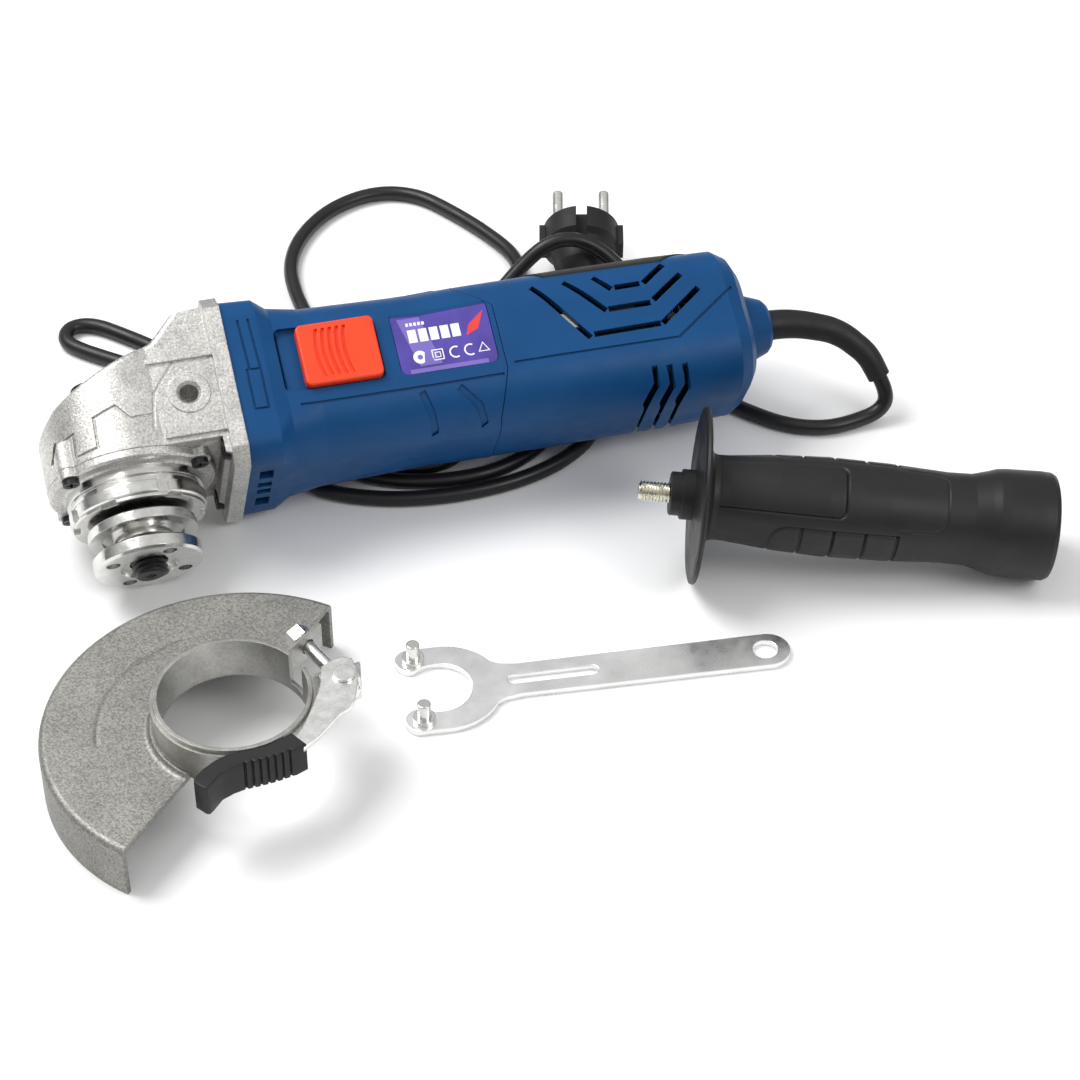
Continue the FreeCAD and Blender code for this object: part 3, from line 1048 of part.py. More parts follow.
def make_guard_shell():
    outer = sector(GUARD_RADIUS, 0, GUARD_DEPTH, GUARD_FROM, GUARD_TO)
    inner = rod(GUARD_RADIUS - GUARD_SHEET, (0, 0, -1), Z_AXIS, GUARD_DEPTH - GUARD_SHEET + 1)
    shell = outer.cut(inner)
    floor_ring = rod(COLLAR_OUTER + 4.5, (0, 0, GUARD_DEPTH - GUARD_SHEET), Z_AXIS, GUARD_SHEET)
    shell = fuse([shell, floor_ring]).cut(rod(COLLAR_OUTER, (0, 0, -1), Z_AXIS, GUARD_DEPTH + 2))
    shell = softened(shell, 1.6, lambda e: e.BoundBox.ZMin > GUARD_DEPTH - 0.1
                     and e.BoundBox.DiagonalLength > GUARD_RADIUS and len(e.Vertexes) == 2
                     and abs(Vector(e.CenterOfMass.x, e.CenterOfMass.y, 0).Length) > 30)
    bead = Part.makeTorus(COLLAR_OUTER + 9, 1.1, Vector(0, 0, GUARD_DEPTH - 0.2), Z_AXIS)
    bead = bead.common(sector(GUARD_RADIUS, GUARD_DEPTH - 2, GUARD_DEPTH + 3, GUARD_FROM + 12,
                              GUARD_TO - 12))
    return fuse([shell, bead])


nodes["guard_shell"] = lay(make_guard_shell(), Placement(GUARD_AT, Rotation()))
collar = tube(COLLAR_OUTER, COLLAR_INNER, (0, 0, GUARD_DEPTH - GUARD_SHEET), Z_AXIS,
              COLLAR_HEIGHT + GUARD_SHEET)
collar = collar.cut(sector(FAR, GUARD_DEPTH + 1.5, FAR, BAND_GAP_FROM + 6, BAND_GAP_TO - 6))
nodes["guard_collar"] = lay(collar, Placement(GUARD_AT, Rotation()))

BAND_LOW = GUARD_DEPTH + 2.0
BAND_HIGH = BAND_LOW + BAND_HEIGHT
EAR_REACH = 17.0
SCREW_R = BAND_OUTER + 8.5
SCREW_Z = (BAND_LOW + BAND_HIGH) / 2


def ear(angle, side, length):
    """A flat ear that stands out from the band at one side of its opening."""
    piece = block((BAND_INNER, BAND_OUTER + length), (0, BAND_SHEET), (BAND_LOW, BAND_HIGH))
    if side < 0:
        piece.translate(Vector(0, -BAND_SHEET, 0))
    piece.rotate(ORIGIN, Z_AXIS, angle)
    return piece


band = tube(BAND_OUTER, BAND_INNER, (0, 0, BAND_LOW), Z_AXIS, BAND_HEIGHT)
band = band.cut(sector(FAR, 0, FAR, BAND_GAP_FROM, BAND_GAP_TO))
band = fuse([band, ear(BAND_GAP_TO, 1, EAR_REACH), ear(BAND_GAP_FROM, -1, EAR_REACH)])
middle_angle = (BAND_GAP_FROM + BAND_GAP_TO) / 2
screw_line = Vector(-math.sin(math.radians(middle_angle)), math.cos(math.radians(middle_angle)), 0)
screw_middle = Vector(math.cos(math.radians(middle_angle)), math.sin(math.radians(middle_angle)),
                      0) * SCREW_R
screw_middle += Vector(0, 0, SCREW_Z)
SCREW_HALF = 19.0
ADJUSTER_RADIUS = 2.4
adjuster = rod(ADJUSTER_RADIUS, screw_middle - screw_line * SCREW_HALF, screw_line, 2 * SCREW_HALF)
screw_hole = rod(ADJUSTER_RADIUS + 0.4, screw_middle - screw_line * 30, screw_line, 60)
nodes["guard_clamp_band"] = lay(band.cut(screw_hole), Placement(GUARD_AT, Rotation()))
CLAMP_NUT_FLATS = 8.0
ear_lean = math.tan(math.radians(BAND_GAP_TO - middle_angle))
nut_offset = (SCREW_R + 0.65 * CLAMP_NUT_FLATS) * ear_lean + BAND_SHEET + 0.1
nut_at = screw_middle + screw_line * nut_offset


def hexagon(across_flats, height, centre, direction):
    radius = across_flats / math.sqrt(3)
    points = [Vector(radius * math.cos(math.radians(60 * k)), radius * math.sin(math.radians(60 * k)), 0)
              for k in range(7)]
    prism = Part.Face(Part.makePolygon(points)).extrude(Vector(0, 0, height))
    prism.Placement = Placement(Vector(*centre), Rotation(Z_AXIS, direction))
    return prism


clamp_nut = hexagon(CLAMP_NUT_FLATS, 5.0, nut_at, screw_line)
nodes["guard_clamp_nut"] = lay(clamp_nut.cut(rod(ADJUSTER_RADIUS, nut_at - screw_line * 5, screw_line, 30)),
                               Placement(GUARD_AT, Rotation()))

# the lever: a bent steel arm that turns on a rivet beside the lower ear, with a plastic thumb piece
RIVET_ANGLE = -4.0
RIVET_RADIUS_FROM_AXIS = 38.0
RIVET_RADIUS = 2.4
rivet_centre = Vector(RIVET_RADIUS_FROM_AXIS * math.cos(math.radians(RIVET_ANGLE)),
                      RIVET_RADIUS_FROM_AXIS * math.sin(math.radians(RIVET_ANGLE)), 0)
LEVER_LOW = BAND_HIGH + 0.6
LEVER_SHEET = 2.0
ARM_IN = BAND_OUTER + 1.2
ARM_OUT = ARM_IN + 8.0
ARM_END = -52.0
TIP_IN = BAND_OUTER + 1.4
TIP_OUT = TIP_IN + 10.0
TIP_END = -118.0
TIP_LOW = BAND_LOW + 1.5
TIP_HIGH = LEVER_LOW + LEVER_SHEET + 1.5

# a bracket on the lower ear carries the rivet
bracket = fuse([block((BAND_OUTER + 2.0, RIVET_RADIUS_FROM_AXIS + 4.5), (-3.4, 3.4),
                      (BAND_HIGH - 2.2, BAND_HIGH)),
                rod(4.5, (RIVET_RADIUS_FROM_AXIS + 4.5 - 4.5, 0, BAND_HIGH - 2.2), Z_AXIS, 2.2)])
bracket.rotate(ORIGIN, Z_AXIS, RIVET_ANGLE)
foot = block((BAND_OUTER + 2.0, BAND_OUTER + EAR_REACH - 2), (-6.0, 0), (BAND_LOW + 1, BAND_HIGH))
foot.rotate(ORIGIN, Z_AXIS, BAND_GAP_FROM)
foot.translate(Vector(math.sin(math.radians(BAND_GAP_FROM)), -math.cos(math.radians(BAND_GAP_FROM)),
                      0) * BAND_SHEET)
bracket = fuse([bracket, foot])
nodes["guard_lever_bracket"] = lay(bracket.cut([screw_hole,
                                                rod(RIVET_RADIUS + 0.02, rivet_centre, Z_AXIS, FAR)]),
                                   Placement(GUARD_AT, Rotation()))
rivet = fuse([rod(RIVET_RADIUS, rivet_centre + Vector(0, 0, BAND_HIGH - 2.2), Z_AXIS, 3.2 + LEVER_SHEET),
              rod(RIVET_RADIUS + 1.4, rivet_centre + Vector(0, 0, LEVER_LOW + LEVER_SHEET + 0.1), Z_AXIS,
                  1.0)])
nodes["guard_lever_rivet"] = lay(rivet, Placement(GUARD_AT, Rotation()))
eye = rod(6.0, rivet_centre + Vector(0, 0, LEVER_LOW), Z_AXIS, LEVER_SHEET)
arm = sector(ARM_OUT, LEVER_LOW, LEVER_LOW + LEVER_SHEET, ARM_END, RIVET_ANGLE)
arm = arm.cut(rod(ARM_IN, (0, 0, 0), Z_AXIS, FAR))
arm = fuse([arm, eye]).cut(rod(RIVET_RADIUS + RUNNING_CLEARANCE, rivet_centre, Z_AXIS, FAR))
nodes["guard_lever"] = lay(arm, Placement(GUARD_AT, Rotation()))
tip = sector(TIP_OUT, TIP_LOW, TIP_HIGH, TIP_END, ARM_END + 6)
tip = tip.cut(rod(TIP_IN, (0, 0, 0), Z_AXIS, FAR))
tip = tip.cut(arm)
ribs = []
for k in range(7):
    rib = rod(0.9, (TIP_OUT + 0.2, 0, TIP_LOW - 1), Z_AXIS, FAR)
    rib.rotate(ORIGIN, Z_AXIS, ARM_END - 14 - 6 * k)
    ribs.append(rib)
nodes["guard_lever_tip"] = lay(tip.cut(ribs), Placement(GUARD_AT, Rotation()))
nodes["guard_clamp_screw"] = lay(adjuster, Placement(GUARD_AT, Rotation()))

# ------------------------------------------------------------------ side handle, along +X from its flange
HANDLE_TILT = math.degrees(math.asin((HANDLE_FLANGE_RADIUS - HANDLE_END_RADIUS) / HANDLE_LENGTH))
GRIP_NECK_LENGTH = 8.5        # round neck of the grip in front of its hand flange
GRIP_NECK_RADIUS = 8.0
GRIP_SECTIONS = ((0.09, 15.4), (0.23, 17.4), (0.365, 18.2), (0.53, 17.8), (0.70, 16.6), (0.77, 16.8),
                 (0.835, 19.2), (0.865, 19.7), (0.96, HANDLE_END_RADIUS))     # share of the length, radius
grip_profile = [(-GRIP_NECK_LENGTH, 0), (-GRIP_NECK_LENGTH, GRIP_NECK_RADIUS), (-4.5, GRIP_NECK_RADIUS),
                (-4.5, 9.2), (0, 9.2), (0, HANDLE_FLANGE_RADIUS - 1.2),
                (1.6, HANDLE_FLANGE_RADIUS), (3.4, HANDLE_FLANGE_RADIUS - 0.6), (6, 15.5)]
grip_profile += [(share * HANDLE_LENGTH, radius) for share, radius in GRIP_SECTIONS]
grip_profile += [(HANDLE_LENGTH - 1.5, HANDLE_END_RADIUS), (HANDLE_LENGTH, HANDLE_END_RADIUS - 1.5),
                 (HANDLE_LENGTH, 0)]
grip = turned_x(grip_profile)
STUD_DEPTH = 28.0             # moulded into the grip
STUD_CORE = STUD_RADIUS - 0.6
STUD_RELIEF = 1.0             # plain length between the thread and the grip
finger_grooves = []
for k in range(4):
    groove = Part.makeTorus(19.0, 1.5, Vector(38.8 + 11.6 * k, 0, 0), X_AXIS)
    finger_grooves.append(groove.common(block((0, FAR), (-FAR, -8), (-12, 12))))
    finger_grooves.append(groove.common(block((0, FAR), (8, FAR), (-12, 12))))
grip = cut(grip, finger_grooves + [rod(STUD_CORE, (-20, 0, 0), X_AXIS, 20 + STUD_DEPTH)])
thread = rod(STUD_RADIUS, (-STUD_REACH, 0, 0), X_AXIS, STUD_REACH - GRIP_NECK_LENGTH - STUD_RELIEF)
stud = fuse([thread, rod(STUD_CORE, (-STUD_REACH + 1, 0, 0), X_AXIS, STUD_REACH - 1 + STUD_DEPTH)])
stud = softened(stud, 0.8, lambda e: e.BoundBox.XMax < -STUD_REACH + 0.1)
HANDLE_LIE = Placement(HANDLE_AT, Rotation(Z_AXIS, HANDLE_TURN).multiply(Rotation(Y_AXIS, HANDLE_TILT)))
nodes["handle_grip"] = lay(grip, HANDLE_LIE)
nodes["handle_stud"] = lay(stud, HANDLE_LIE)

# ------------------------------------------------------------------ pin spanner
SPANNER_JAW_OUTER = 22.0
SPANNER_JAW_INNER = 13.0
SPANNER_HALF_START = 9.5
SPANNER_HALF_END = 8.0
jaw = rod(SPANNER_JAW_OUTER, (8, 0, 0), Z_AXIS, SPANNER_SHEET)
mouth = fuse([rod(SPANNER_JAW_INNER, (7, 0, -1), Z_AXIS, SPANNER_SHEET + 2),
              block((-30, 7), (-10.0, 10.0), (-1, SPANNER_SHEET + 1))])
jaw = jaw.cut([mouth, block((-30, -6.5), (-30, 30), (-1, 5))])
SPANNER_EYE_X = SPANNER_LENGTH - SPANNER_HALF_END
handle = prism_z([(24, -SPANNER_HALF_START), (SPANNER_EYE_X, -SPANNER_HALF_END),
                  (SPANNER_EYE_X, SPANNER_HALF_END), (24, SPANNER_HALF_START)], 0, SPANNER_SHEET)
handle_end = rod(SPANNER_HALF_END, (SPANNER_EYE_X, 0, 0), Z_AXIS, SPANNER_SHEET)
spanner = fuse([jaw, handle, handle_end])
slot_cut = fuse([block((34, 62), (-2.4, 2.4), (-1, 5)), rod(2.4, (34, 0, -1), Z_AXIS, 6),
                 rod(2.4, (62, 0, -1), Z_AXIS, 6)])
hang_hole = rod(4.5, (SPANNER_LENGTH - 9.0, 0, -1), Z_AXIS, 6)
pin_seats = [rod(SPANNER_PIN_RADIUS, (0, s * NUT_PIN_CIRCLE, -1), Z_AXIS, 6) for s in (-1, 1)]
spanner = cut(spanner, [slot_cut, hang_hole] + pin_seats)
spanner_pins = []
for s in (-1, 1):
    pin = rod(SPANNER_PIN_RADIUS, (0, s * NUT_PIN_CIRCLE, 0), Z_AXIS, SPANNER_SHEET + SPANNER_PIN_HEIGHT)
    pin = softened(pin, 0.5, lambda e: e.BoundBox.ZMin > SPANNER_SHEET + SPANNER_PIN_HEIGHT - 0.1)
    shoulder = rod(3.9, (0, s * NUT_PIN_CIRCLE, SPANNER_SHEET), Z_AXIS, 1.6)
    spanner_pins.append(fuse([pin, shoulder]))
SPANNER_LIE = Placement(SPANNER_AT, Rotation(Z_AXIS, SPANNER_TURN))
nodes["spanner_plate"] = lay(spanner, SPANNER_LIE)
nodes["spanner_pins"] = lay(Part.makeCompound(spanner_pins), SPANNER_LIE)

# ------------------------------------------------------------------ centre the layout and write it out
LEAD = ("cord", "strain_relief", "plug_body", "plug_pins")
box = FreeCAD.BoundBox()
for name, shape in nodes.items():
    if name not in LEAD:
        for corner in shape.tessellate(0.05)[0]:
            box.add(corner)
shift = Vector(-(box.XMin + box.XMax) / 2, -(box.YMin + box.YMax) / 2, -box.ZMin)
print("layout centre moved by %.3f %.3f %.3f" % tuple(shift))
for name, shape in nodes.items():
    shape.translate(shift)
    if not shape.isValid():
        print("not valid:", name)
    shape.exportStep("parts/%s.step" % name)
print(len(nodes), "nodes")
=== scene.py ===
import json
import math

import bpy
from mathutils import Matrix, Vector

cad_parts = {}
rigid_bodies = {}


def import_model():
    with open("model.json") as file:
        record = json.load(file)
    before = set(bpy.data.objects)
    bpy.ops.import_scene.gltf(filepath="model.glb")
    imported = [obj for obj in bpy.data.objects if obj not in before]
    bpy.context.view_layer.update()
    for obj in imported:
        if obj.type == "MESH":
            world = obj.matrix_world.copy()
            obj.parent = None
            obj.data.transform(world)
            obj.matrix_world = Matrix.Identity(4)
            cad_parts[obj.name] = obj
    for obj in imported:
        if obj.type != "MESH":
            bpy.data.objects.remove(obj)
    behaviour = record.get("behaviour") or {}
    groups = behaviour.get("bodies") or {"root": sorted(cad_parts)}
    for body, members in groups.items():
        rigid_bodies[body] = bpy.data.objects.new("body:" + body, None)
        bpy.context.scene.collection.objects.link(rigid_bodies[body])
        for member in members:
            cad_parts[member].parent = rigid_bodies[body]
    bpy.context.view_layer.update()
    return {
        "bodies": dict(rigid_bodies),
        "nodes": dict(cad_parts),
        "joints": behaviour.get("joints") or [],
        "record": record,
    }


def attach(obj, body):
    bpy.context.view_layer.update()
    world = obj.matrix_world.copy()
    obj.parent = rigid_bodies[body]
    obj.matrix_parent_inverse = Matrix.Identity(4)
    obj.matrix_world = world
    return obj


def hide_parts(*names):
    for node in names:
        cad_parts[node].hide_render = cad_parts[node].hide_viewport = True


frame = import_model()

# ------------------------------------------------------------------ camera
# A standing photographer's view of the table from the spindle side, through a long lens.
LAYOUT_SHIFT = Vector((8.700, 16.908, 0.0))     # mm, the drawing's origin from the middle of the layout
LOOK_AT = LAYOUT_SHIFT / 1000
CAMERA_DISTANCE = 1.12
CAMERA_HEIGHT_ANGLE = math.radians(42.0)
CAMERA_TURN = math.radians(15.92)
LENS_MM = 100
FULL_FRAME_MM = 36
away = Vector((-math.sin(CAMERA_TURN) * math.cos(CAMERA_HEIGHT_ANGLE),
               -math.cos(CAMERA_TURN) * math.cos(CAMERA_HEIGHT_ANGLE), math.sin(CAMERA_HEIGHT_ANGLE)))
camera_data = bpy.data.cameras.new("camera")
camera_data.lens = LENS_MM
camera_data.sensor_width = FULL_FRAME_MM
camera_data.dof.use_dof = False
camera = bpy.data.objects.new("camera", camera_data)
camera.location = LOOK_AT + away * CAMERA_DISTANCE
camera.rotation_euler = (-away).to_track_quat("-Z", "Y").to_euler()
bpy.context.scene.collection.objects.link(camera)
bpy.context.scene.camera = camera

# ------------------------------------------------------------------ floor and light
# A plain pale sheet of board under the grinder. It is lit softly from all round, with a large
# softbox behind on the left and a weaker one in front on the right.
def link(obj):
    bpy.context.scene.collection.objects.link(obj)
    return obj


def mesh_object(name, verts, faces, smooth=False):
    """A mesh piece; verts are in metres in the row frame."""
    mesh = bpy.data.meshes.new(name)
    mesh.from_pydata([tuple(v) for v in verts], [], faces)
    mesh.update()
    for polygon in mesh.polygons:
        polygon.use_smooth = smooth
    return link(bpy.data.objects.new(name, mesh))


class Nodes:
    """Builds one procedural material, node by node."""

    def __init__(self, name):
        self.material = bpy.data.materials.new(name)
        self.material.use_nodes = True
        self.tree = self.material.node_tree
        self.shader = self.tree.nodes["Principled BSDF"]
        self.place = self.add("ShaderNodeTexCoord").outputs["Object"]

    def add(self, kind, **settings):
        node = self.tree.nodes.new(kind)
        for key, value in settings.items():
            setattr(node, key, value)
        return node

    def wire(self, output, target):
        self.tree.links.new(output, target)

    def noise(self, size, detail=3.0, place=None, roughness=0.55):
        """Noise with features of about size metres; its value runs from 0 to 1."""
        node = self.add("ShaderNodeTexNoise")
        node.inputs["Scale"].default_value = 1.0 / size
        node.inputs["Detail"].default_value = detail
        node.inputs["Roughness"].default_value = roughness
        self.wire(place or self.place, node.inputs["Vector"])
        return node.outputs["Fac"]

    def ramp(self, value, low, high, start=0.35, end=0.65):
        """A colour or a grey that runs from low to high as value goes from start to end."""
        node = self.add("ShaderNodeValToRGB")
        first, last = node.color_ramp.elements
        first.position, last.position = start, end
        first.color = (*low, 1) if hasattr(low, "__len__") else (low, low, low, 1)
        last.color = (*high, 1) if hasattr(high, "__len__") else (high, high, high, 1)
        self.wire(value, node.inputs["Fac"])
        return node.outputs["Color"]

    def bump(self, height, distance, strength=1.0, below=None):
        node = self.add("ShaderNodeBump")
        node.inputs["Distance"].default_value = distance
        node.inputs["Strength"].default_value = strength
        self.wire(height, node.inputs["Height"])
        if below is not None:
            self.wire(below, node.inputs["Normal"])
        return node.outputs["Normal"]

    def soft_edge(self, radius):
        node = self.add("ShaderNodeBevel", samples=4)
        node.inputs["Radius"].default_value = radius
        return node.outputs["Normal"]


def surface(name, color, rough=(0.4, 0.55), metal=0.0, tint=0.12, patch=0.02, grain=0.0005, depth=0.00003,
            edge=0.0004, shine=0.5, waves=0.0, speckle=0.0):
    """A real surface: patchy colour, uneven gloss, a fine grain and softened edges."""
    n = Nodes(name)
    dark = [c * (1 - tint) for c in color]
    light = [min(1.0, c * (1 + tint)) for c in color]
    base = n.ramp(n.noise(patch), dark, light)
    if speckle:
        mix = n.add("ShaderNodeMix", data_type="RGBA", blend_type="MULTIPLY")
        mix.inputs["Factor"].default_value = 1.0
        n.wire(base, mix.inputs["A"])
        n.wire(n.ramp(n.noise(grain, 4.0, roughness=0.7), 1 - speckle, 1.0, 0.36, 0.6), mix.inputs["B"])
        base = mix.outputs["Result"]
    n.wire(base, n.shader.inputs["Base Color"])
    n.wire(n.ramp(n.noise(patch * 0.4, 5.0), rough[0], rough[1]), n.shader.inputs["Roughness"])
    n.shader.inputs["Metallic"].default_value = metal
    n.shader.inputs["Specular IOR Level"].default_value = shine
    normal = n.soft_edge(edge) if edge else None
    if waves:
        normal = n.bump(n.noise(patch * 0.6, 1.0), waves, below=normal)
    n.wire(n.bump(n.noise(grain, 2.0), depth, below=normal), n.shader.inputs["Normal"])
    return n.material


nodes = frame["nodes"]


def dress(material, *names):
    """Give the CAD pieces of these names a finish."""
    for name in names:
        data = nodes[name].data
        data.materials.clear()
        data.materials.append(material)


FLOOR_HALF = 3.0
floor = mesh_object("floor", [(-FLOOR_HALF, -FLOOR_HALF, 0), (FLOOR_HALF, -FLOOR_HALF, 0),
                              (FLOOR_HALF, FLOOR_HALF, 0), (-FLOOR_HALF, FLOOR_HALF, 0)], [(0, 1, 2, 3)])
floor.data.materials.append(surface("pale_board", (0.93, 0.93, 0.93), (0.6, 0.7), tint=0.008, patch=0.3,
                                    grain=0.001, depth=0.00001, edge=0))

world = bpy.data.worlds.new("soft_room")
world.use_nodes = True
sky = world.node_tree.nodes
sky_place = sky.new("ShaderNodeTexCoord")
sky_split = sky.new("ShaderNodeSeparateXYZ")
sky_ramp = sky.new("ShaderNodeValToRGB")
sky_ramp.color_ramp.elements[0].position = 0.02
sky_ramp.color_ramp.elements[0].color = (0.16, 0.165, 0.17, 1)
sky_ramp.color_ramp.elements[1].position = 0.75
sky_ramp.color_ramp.elements[1].color = (1.0, 1.0, 1.0, 1)
world.node_tree.links.new(sky_place.outputs["Generated"], sky_split.inputs["Vector"])
world.node_tree.links.new(sky_split.outputs["Z"], sky_ramp.inputs["Fac"])
world.node_tree.links.new(sky_ramp.outputs["Color"], sky["Background"].inputs["Color"])
sky["Background"].inputs["Strength"].default_value = 0.72
bpy.context.scene.world = world


def softbox(name, at, size, power):
    """A square area light that points at the middle of the table."""
    data = bpy.data.lights.new(name, "AREA")
    data.shape = "SQUARE"
    data.size = size
    data.energy = power
    lamp = link(bpy.data.objects.new(name, data))
    lamp.location = at
    lamp.rotation_euler = Vector(at).to_track_quat("Z", "Y").to_euler()


softbox("key_light", (-0.75, 0.55, 1.5), 1.0, 24)
softbox("front_light", (0.9, -1.0, 1.3), 0.8, 9)
bpy.context.scene.view_settings.view_transform = "Standard"

# ------------------------------------------------------------------ mains lead
# A two-core lead in a round black rubber sheath, 6 mm thick. It leaves the sleeve at the rear, runs
# twice under and round the motor and ends in the moulded plug.
CORD_DIAMETER = 0.006
ON_SURFACE = 3.02      # mm, middle of the lead where it lies on the table
LEAD_START = ((147.0, 36.0, 18.0), (149.9, 31.9, 11.5), (146.2, 30.2, 5.4))
LEAD_ON_TABLE = (
    (137, 29.8, 0), (124, 28.5, 0), (110, 34, 0), (98, 46, 0), (87, 61, 0), (80, 79, 0),
    (79, 99, 2), (76, 117, 9), (68, 131, 20), (56, 137.5, 28), (43, 138.5, 28), (30, 137, 18),
    (15, 131, 6), (3, 118, 0), (3, 101, 0), (15, 87, 0), (32, 81, 0), (41, 68, 0),
    (36, 50, 0), (20, 37.5, 0), (0, 31.2, 0), (-22, 29.8, 0), (-43, 32.5, 0), (-61, 39, 0),
    (-75, 48, 0), (-80, 62, 0), (-80, 78, 0), (-86, 95, 0), (-98, 111, 0), (-113, 126, 0),
    (-129, 141, 0), (-144, 154, 0), (-152, 163, 0), (-149, 172, 0), (-139, 172, 0), (-127, 160, 0),
    (-112, 143, 0), (-97, 129.5, 0), (-83, 115, 0), (-74, 99, 0), (-69, 81, 0), (-67, 66, 0),
    (-59, 53, 0), (-44, 43.5, 0), (-25, 38.6, 0), (-6, 39, 0), (10, 46, 0), (21, 57, 0),
    (22, 71, 0), (9, 79, 0), (-5, 74.5, 0), (-12, 63, 0), (-16, 53.5, 0), (-26, 48.4, 0),
    (-39, 49.8, 0), (-50, 57, 0), (-57, 69, 0), (-61, 86, 0), (-61, 106, 0), (-57, 126, 0),
    (-54, 146, 0), (-56, 168, 0), (-54, 190, 0), (-44, 209, 0), (-28, 223.5, 0), (-8, 229.5, 0),
    (9, 223, 0), (20, 207, 0), (30, 189, 0), (38, 169, 0), (35, 150, 0), (26, 133, 0),
    (18, 116, 0), (21, 99, 0), (34, 92.5, 0), (46, 98, 0))
LEAD_END = ((49.7, 112.5, 5.1), (52.3, 121.8, 7.5))
route = list(LEAD_START)
route += [(x, y, z + ON_SURFACE) for x, y, z in LEAD_ON_TABLE]
route += list(LEAD_END)


def row_point(point):
    """Millimetres before the layout was centred, to metres in the row frame."""
    return (Vector(point) + LAYOUT_SHIFT) / 1000


cord_data = bpy.data.curves.new("mains_lead", "CURVE")
cord_data.dimensions = "3D"
cord_spline = cord_data.splines.new("NURBS")
cord_spline.points.add(len(route) - 1)
for spline_point, point in zip(cord_spline.points, route):
    spline_point.co = (*row_point(point), 1)
cord_spline.order_u = 3
cord_spline.use_endpoint_u = True
cord_spline.resolution_u = 8
cord_data.bevel_depth = CORD_DIAMETER / 2
cord_data.bevel_resolution = 5
cord_data.use_fill_caps = True
mains_lead = link(bpy.data.objects.new("mains_lead", cord_data))
mains_lead.data.materials.append(surface("lead_rubber", (0.010, 0.010, 0.011), (0.3, 0.45), grain=0.0008,
                                         depth=0.00002, edge=0, shine=0.4))
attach(mains_lead, "tool")
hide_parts("cord")

# ------------------------------------------------------------------ plug and bend sleeve
# Both are moulded in black PVC on the lead: the sleeve where it leaves the rear cover, the round plug
# at its far end. The plug's two pins are bright nickel, 19 mm apart.
lead_moulding = surface("lead_moulding", (0.011, 0.011, 0.012), (0.45, 0.6), grain=0.0005, depth=0.00003,
                        shine=0.35)
dress(lead_moulding, "plug_body", "strain_relief", "cord_inside")
bright_steel = surface("zinc_steel", (0.72, 0.715, 0.69), (0.14, 0.26), metal=1.0, tint=0.08, patch=0.006,
                       grain=0.0012, depth=0.00003)
dress(bright_steel, "plug_pins")

# ------------------------------------------------------------------ motor housing and rear cover
# Two blue mouldings in glass-filled nylon, joined behind the label. The surface is satin with a very
# fine texture, and large walls are a little uneven from shrinkage.
blue_nylon = surface("blue_nylon", (0.0015, 0.058, 0.185), (0.4, 0.5), tint=0.06, grain=0.00035,
                     depth=0.000022, shine=0.22, waves=0.00002)
dress(blue_nylon, "motor_housing", "rear_cover")

# ------------------------------------------------------------------ soft pads
# Two pads of black rubber, moulded into recesses on the upper side of the body.
# They are matt and more strongly textured than the blue shell round them.
dress(surface("grip_rubber", (0.014, 0.014, 0.014), (0.5, 0.62), grain=0.0005, depth=0.00006, shine=0.3),
      "front_grip", "rear_grip")

# ------------------------------------------------------------------ switch
# The slider is a bright red moulding with ribs for the thumb; a long rod of natural nylon behind it
# works the switch in the rear, which has a black case.
red_moulding = surface("red_moulding", (0.9, 0.062, 0.016), (0.32, 0.42), tint=0.04, grain=0.0004,
                       depth=0.00001, shine=0.35)
dress(red_moulding, "switch_slider")
natural_nylon = surface("natural_nylon", (0.7, 0.66, 0.55), (0.4, 0.55))
dress(natural_nylon, "switch_rod", "suppressor", "cord_clamp")
black_plastic = surface("black_plastic", (0.011, 0.011, 0.012), (0.38, 0.5), grain=0.0004, depth=0.00003,
                        tint=0.15, shine=0.35)
dress(black_plastic, "switch_block")

# ------------------------------------------------------------------ gear head
# A zinc-aluminium die casting, tumbled but not machined on the outside, so it is grainy and bright grey.
# The lock button in its top is black plastic on a bright pin with a spring under it.
cast_head = surface("cast_head", (0.7, 0.69, 0.66), (0.36, 0.5), metal=0.85, tint=0.1, patch=0.012,
                    grain=0.0008, depth=0.00012, edge=0.0006, speckle=0.45)
dress(cast_head, "gear_head")
dress(black_plastic, "lock_button")
dress(bright_steel, "lock_pin", "lock_spring")

# ------------------------------------------------------------------ bearing cover
# One casting, held to the head by four screws. Its flange is left as cast like the head, and the
# guard's neck under it is turned bright. BENCH is the frame of the grinder: X along the motor, -Y down
# the spindle, in millimetres.
BENCH = (Matrix.Translation(row_point((-144.1, 54.6, 43.6))) @ Matrix.Rotation(math.radians(1.4), 4, "Y")
         @ Matrix.Rotation(math.radians(28.2), 4, "X") @ Matrix.Scale(0.001, 4))
NECK_START = -24.9     # mm along the bench's Y, just beyond the cover's outer face
NECK_REACH = 25.3      # mm, radius that takes in the neck and no more
dress(bright_steel, "bearing_cover", "bearing_retainer")
cover = nodes["bearing_cover"].data
cover.materials.append(cast_head)
to_bench = BENCH.inverted()
for polygon in cover.polygons:
    centre = to_bench @ polygon.center
    if centre.y > NECK_START or math.hypot(centre.x, centre.z) > NECK_REACH:
        polygon.material_index = 1

# ------------------------------------------------------------------ head screws
# Four pan-head screws hold the cover and four the head to the housing, all of blackened steel with
# cross recesses.
black_steel = surface("black_steel", (0.02, 0.02, 0.02), (0.3, 0.45), metal=0.4, grain=0.0008, depth=0.00003)
dress(black_steel, "cover_screws", "flange_screws")

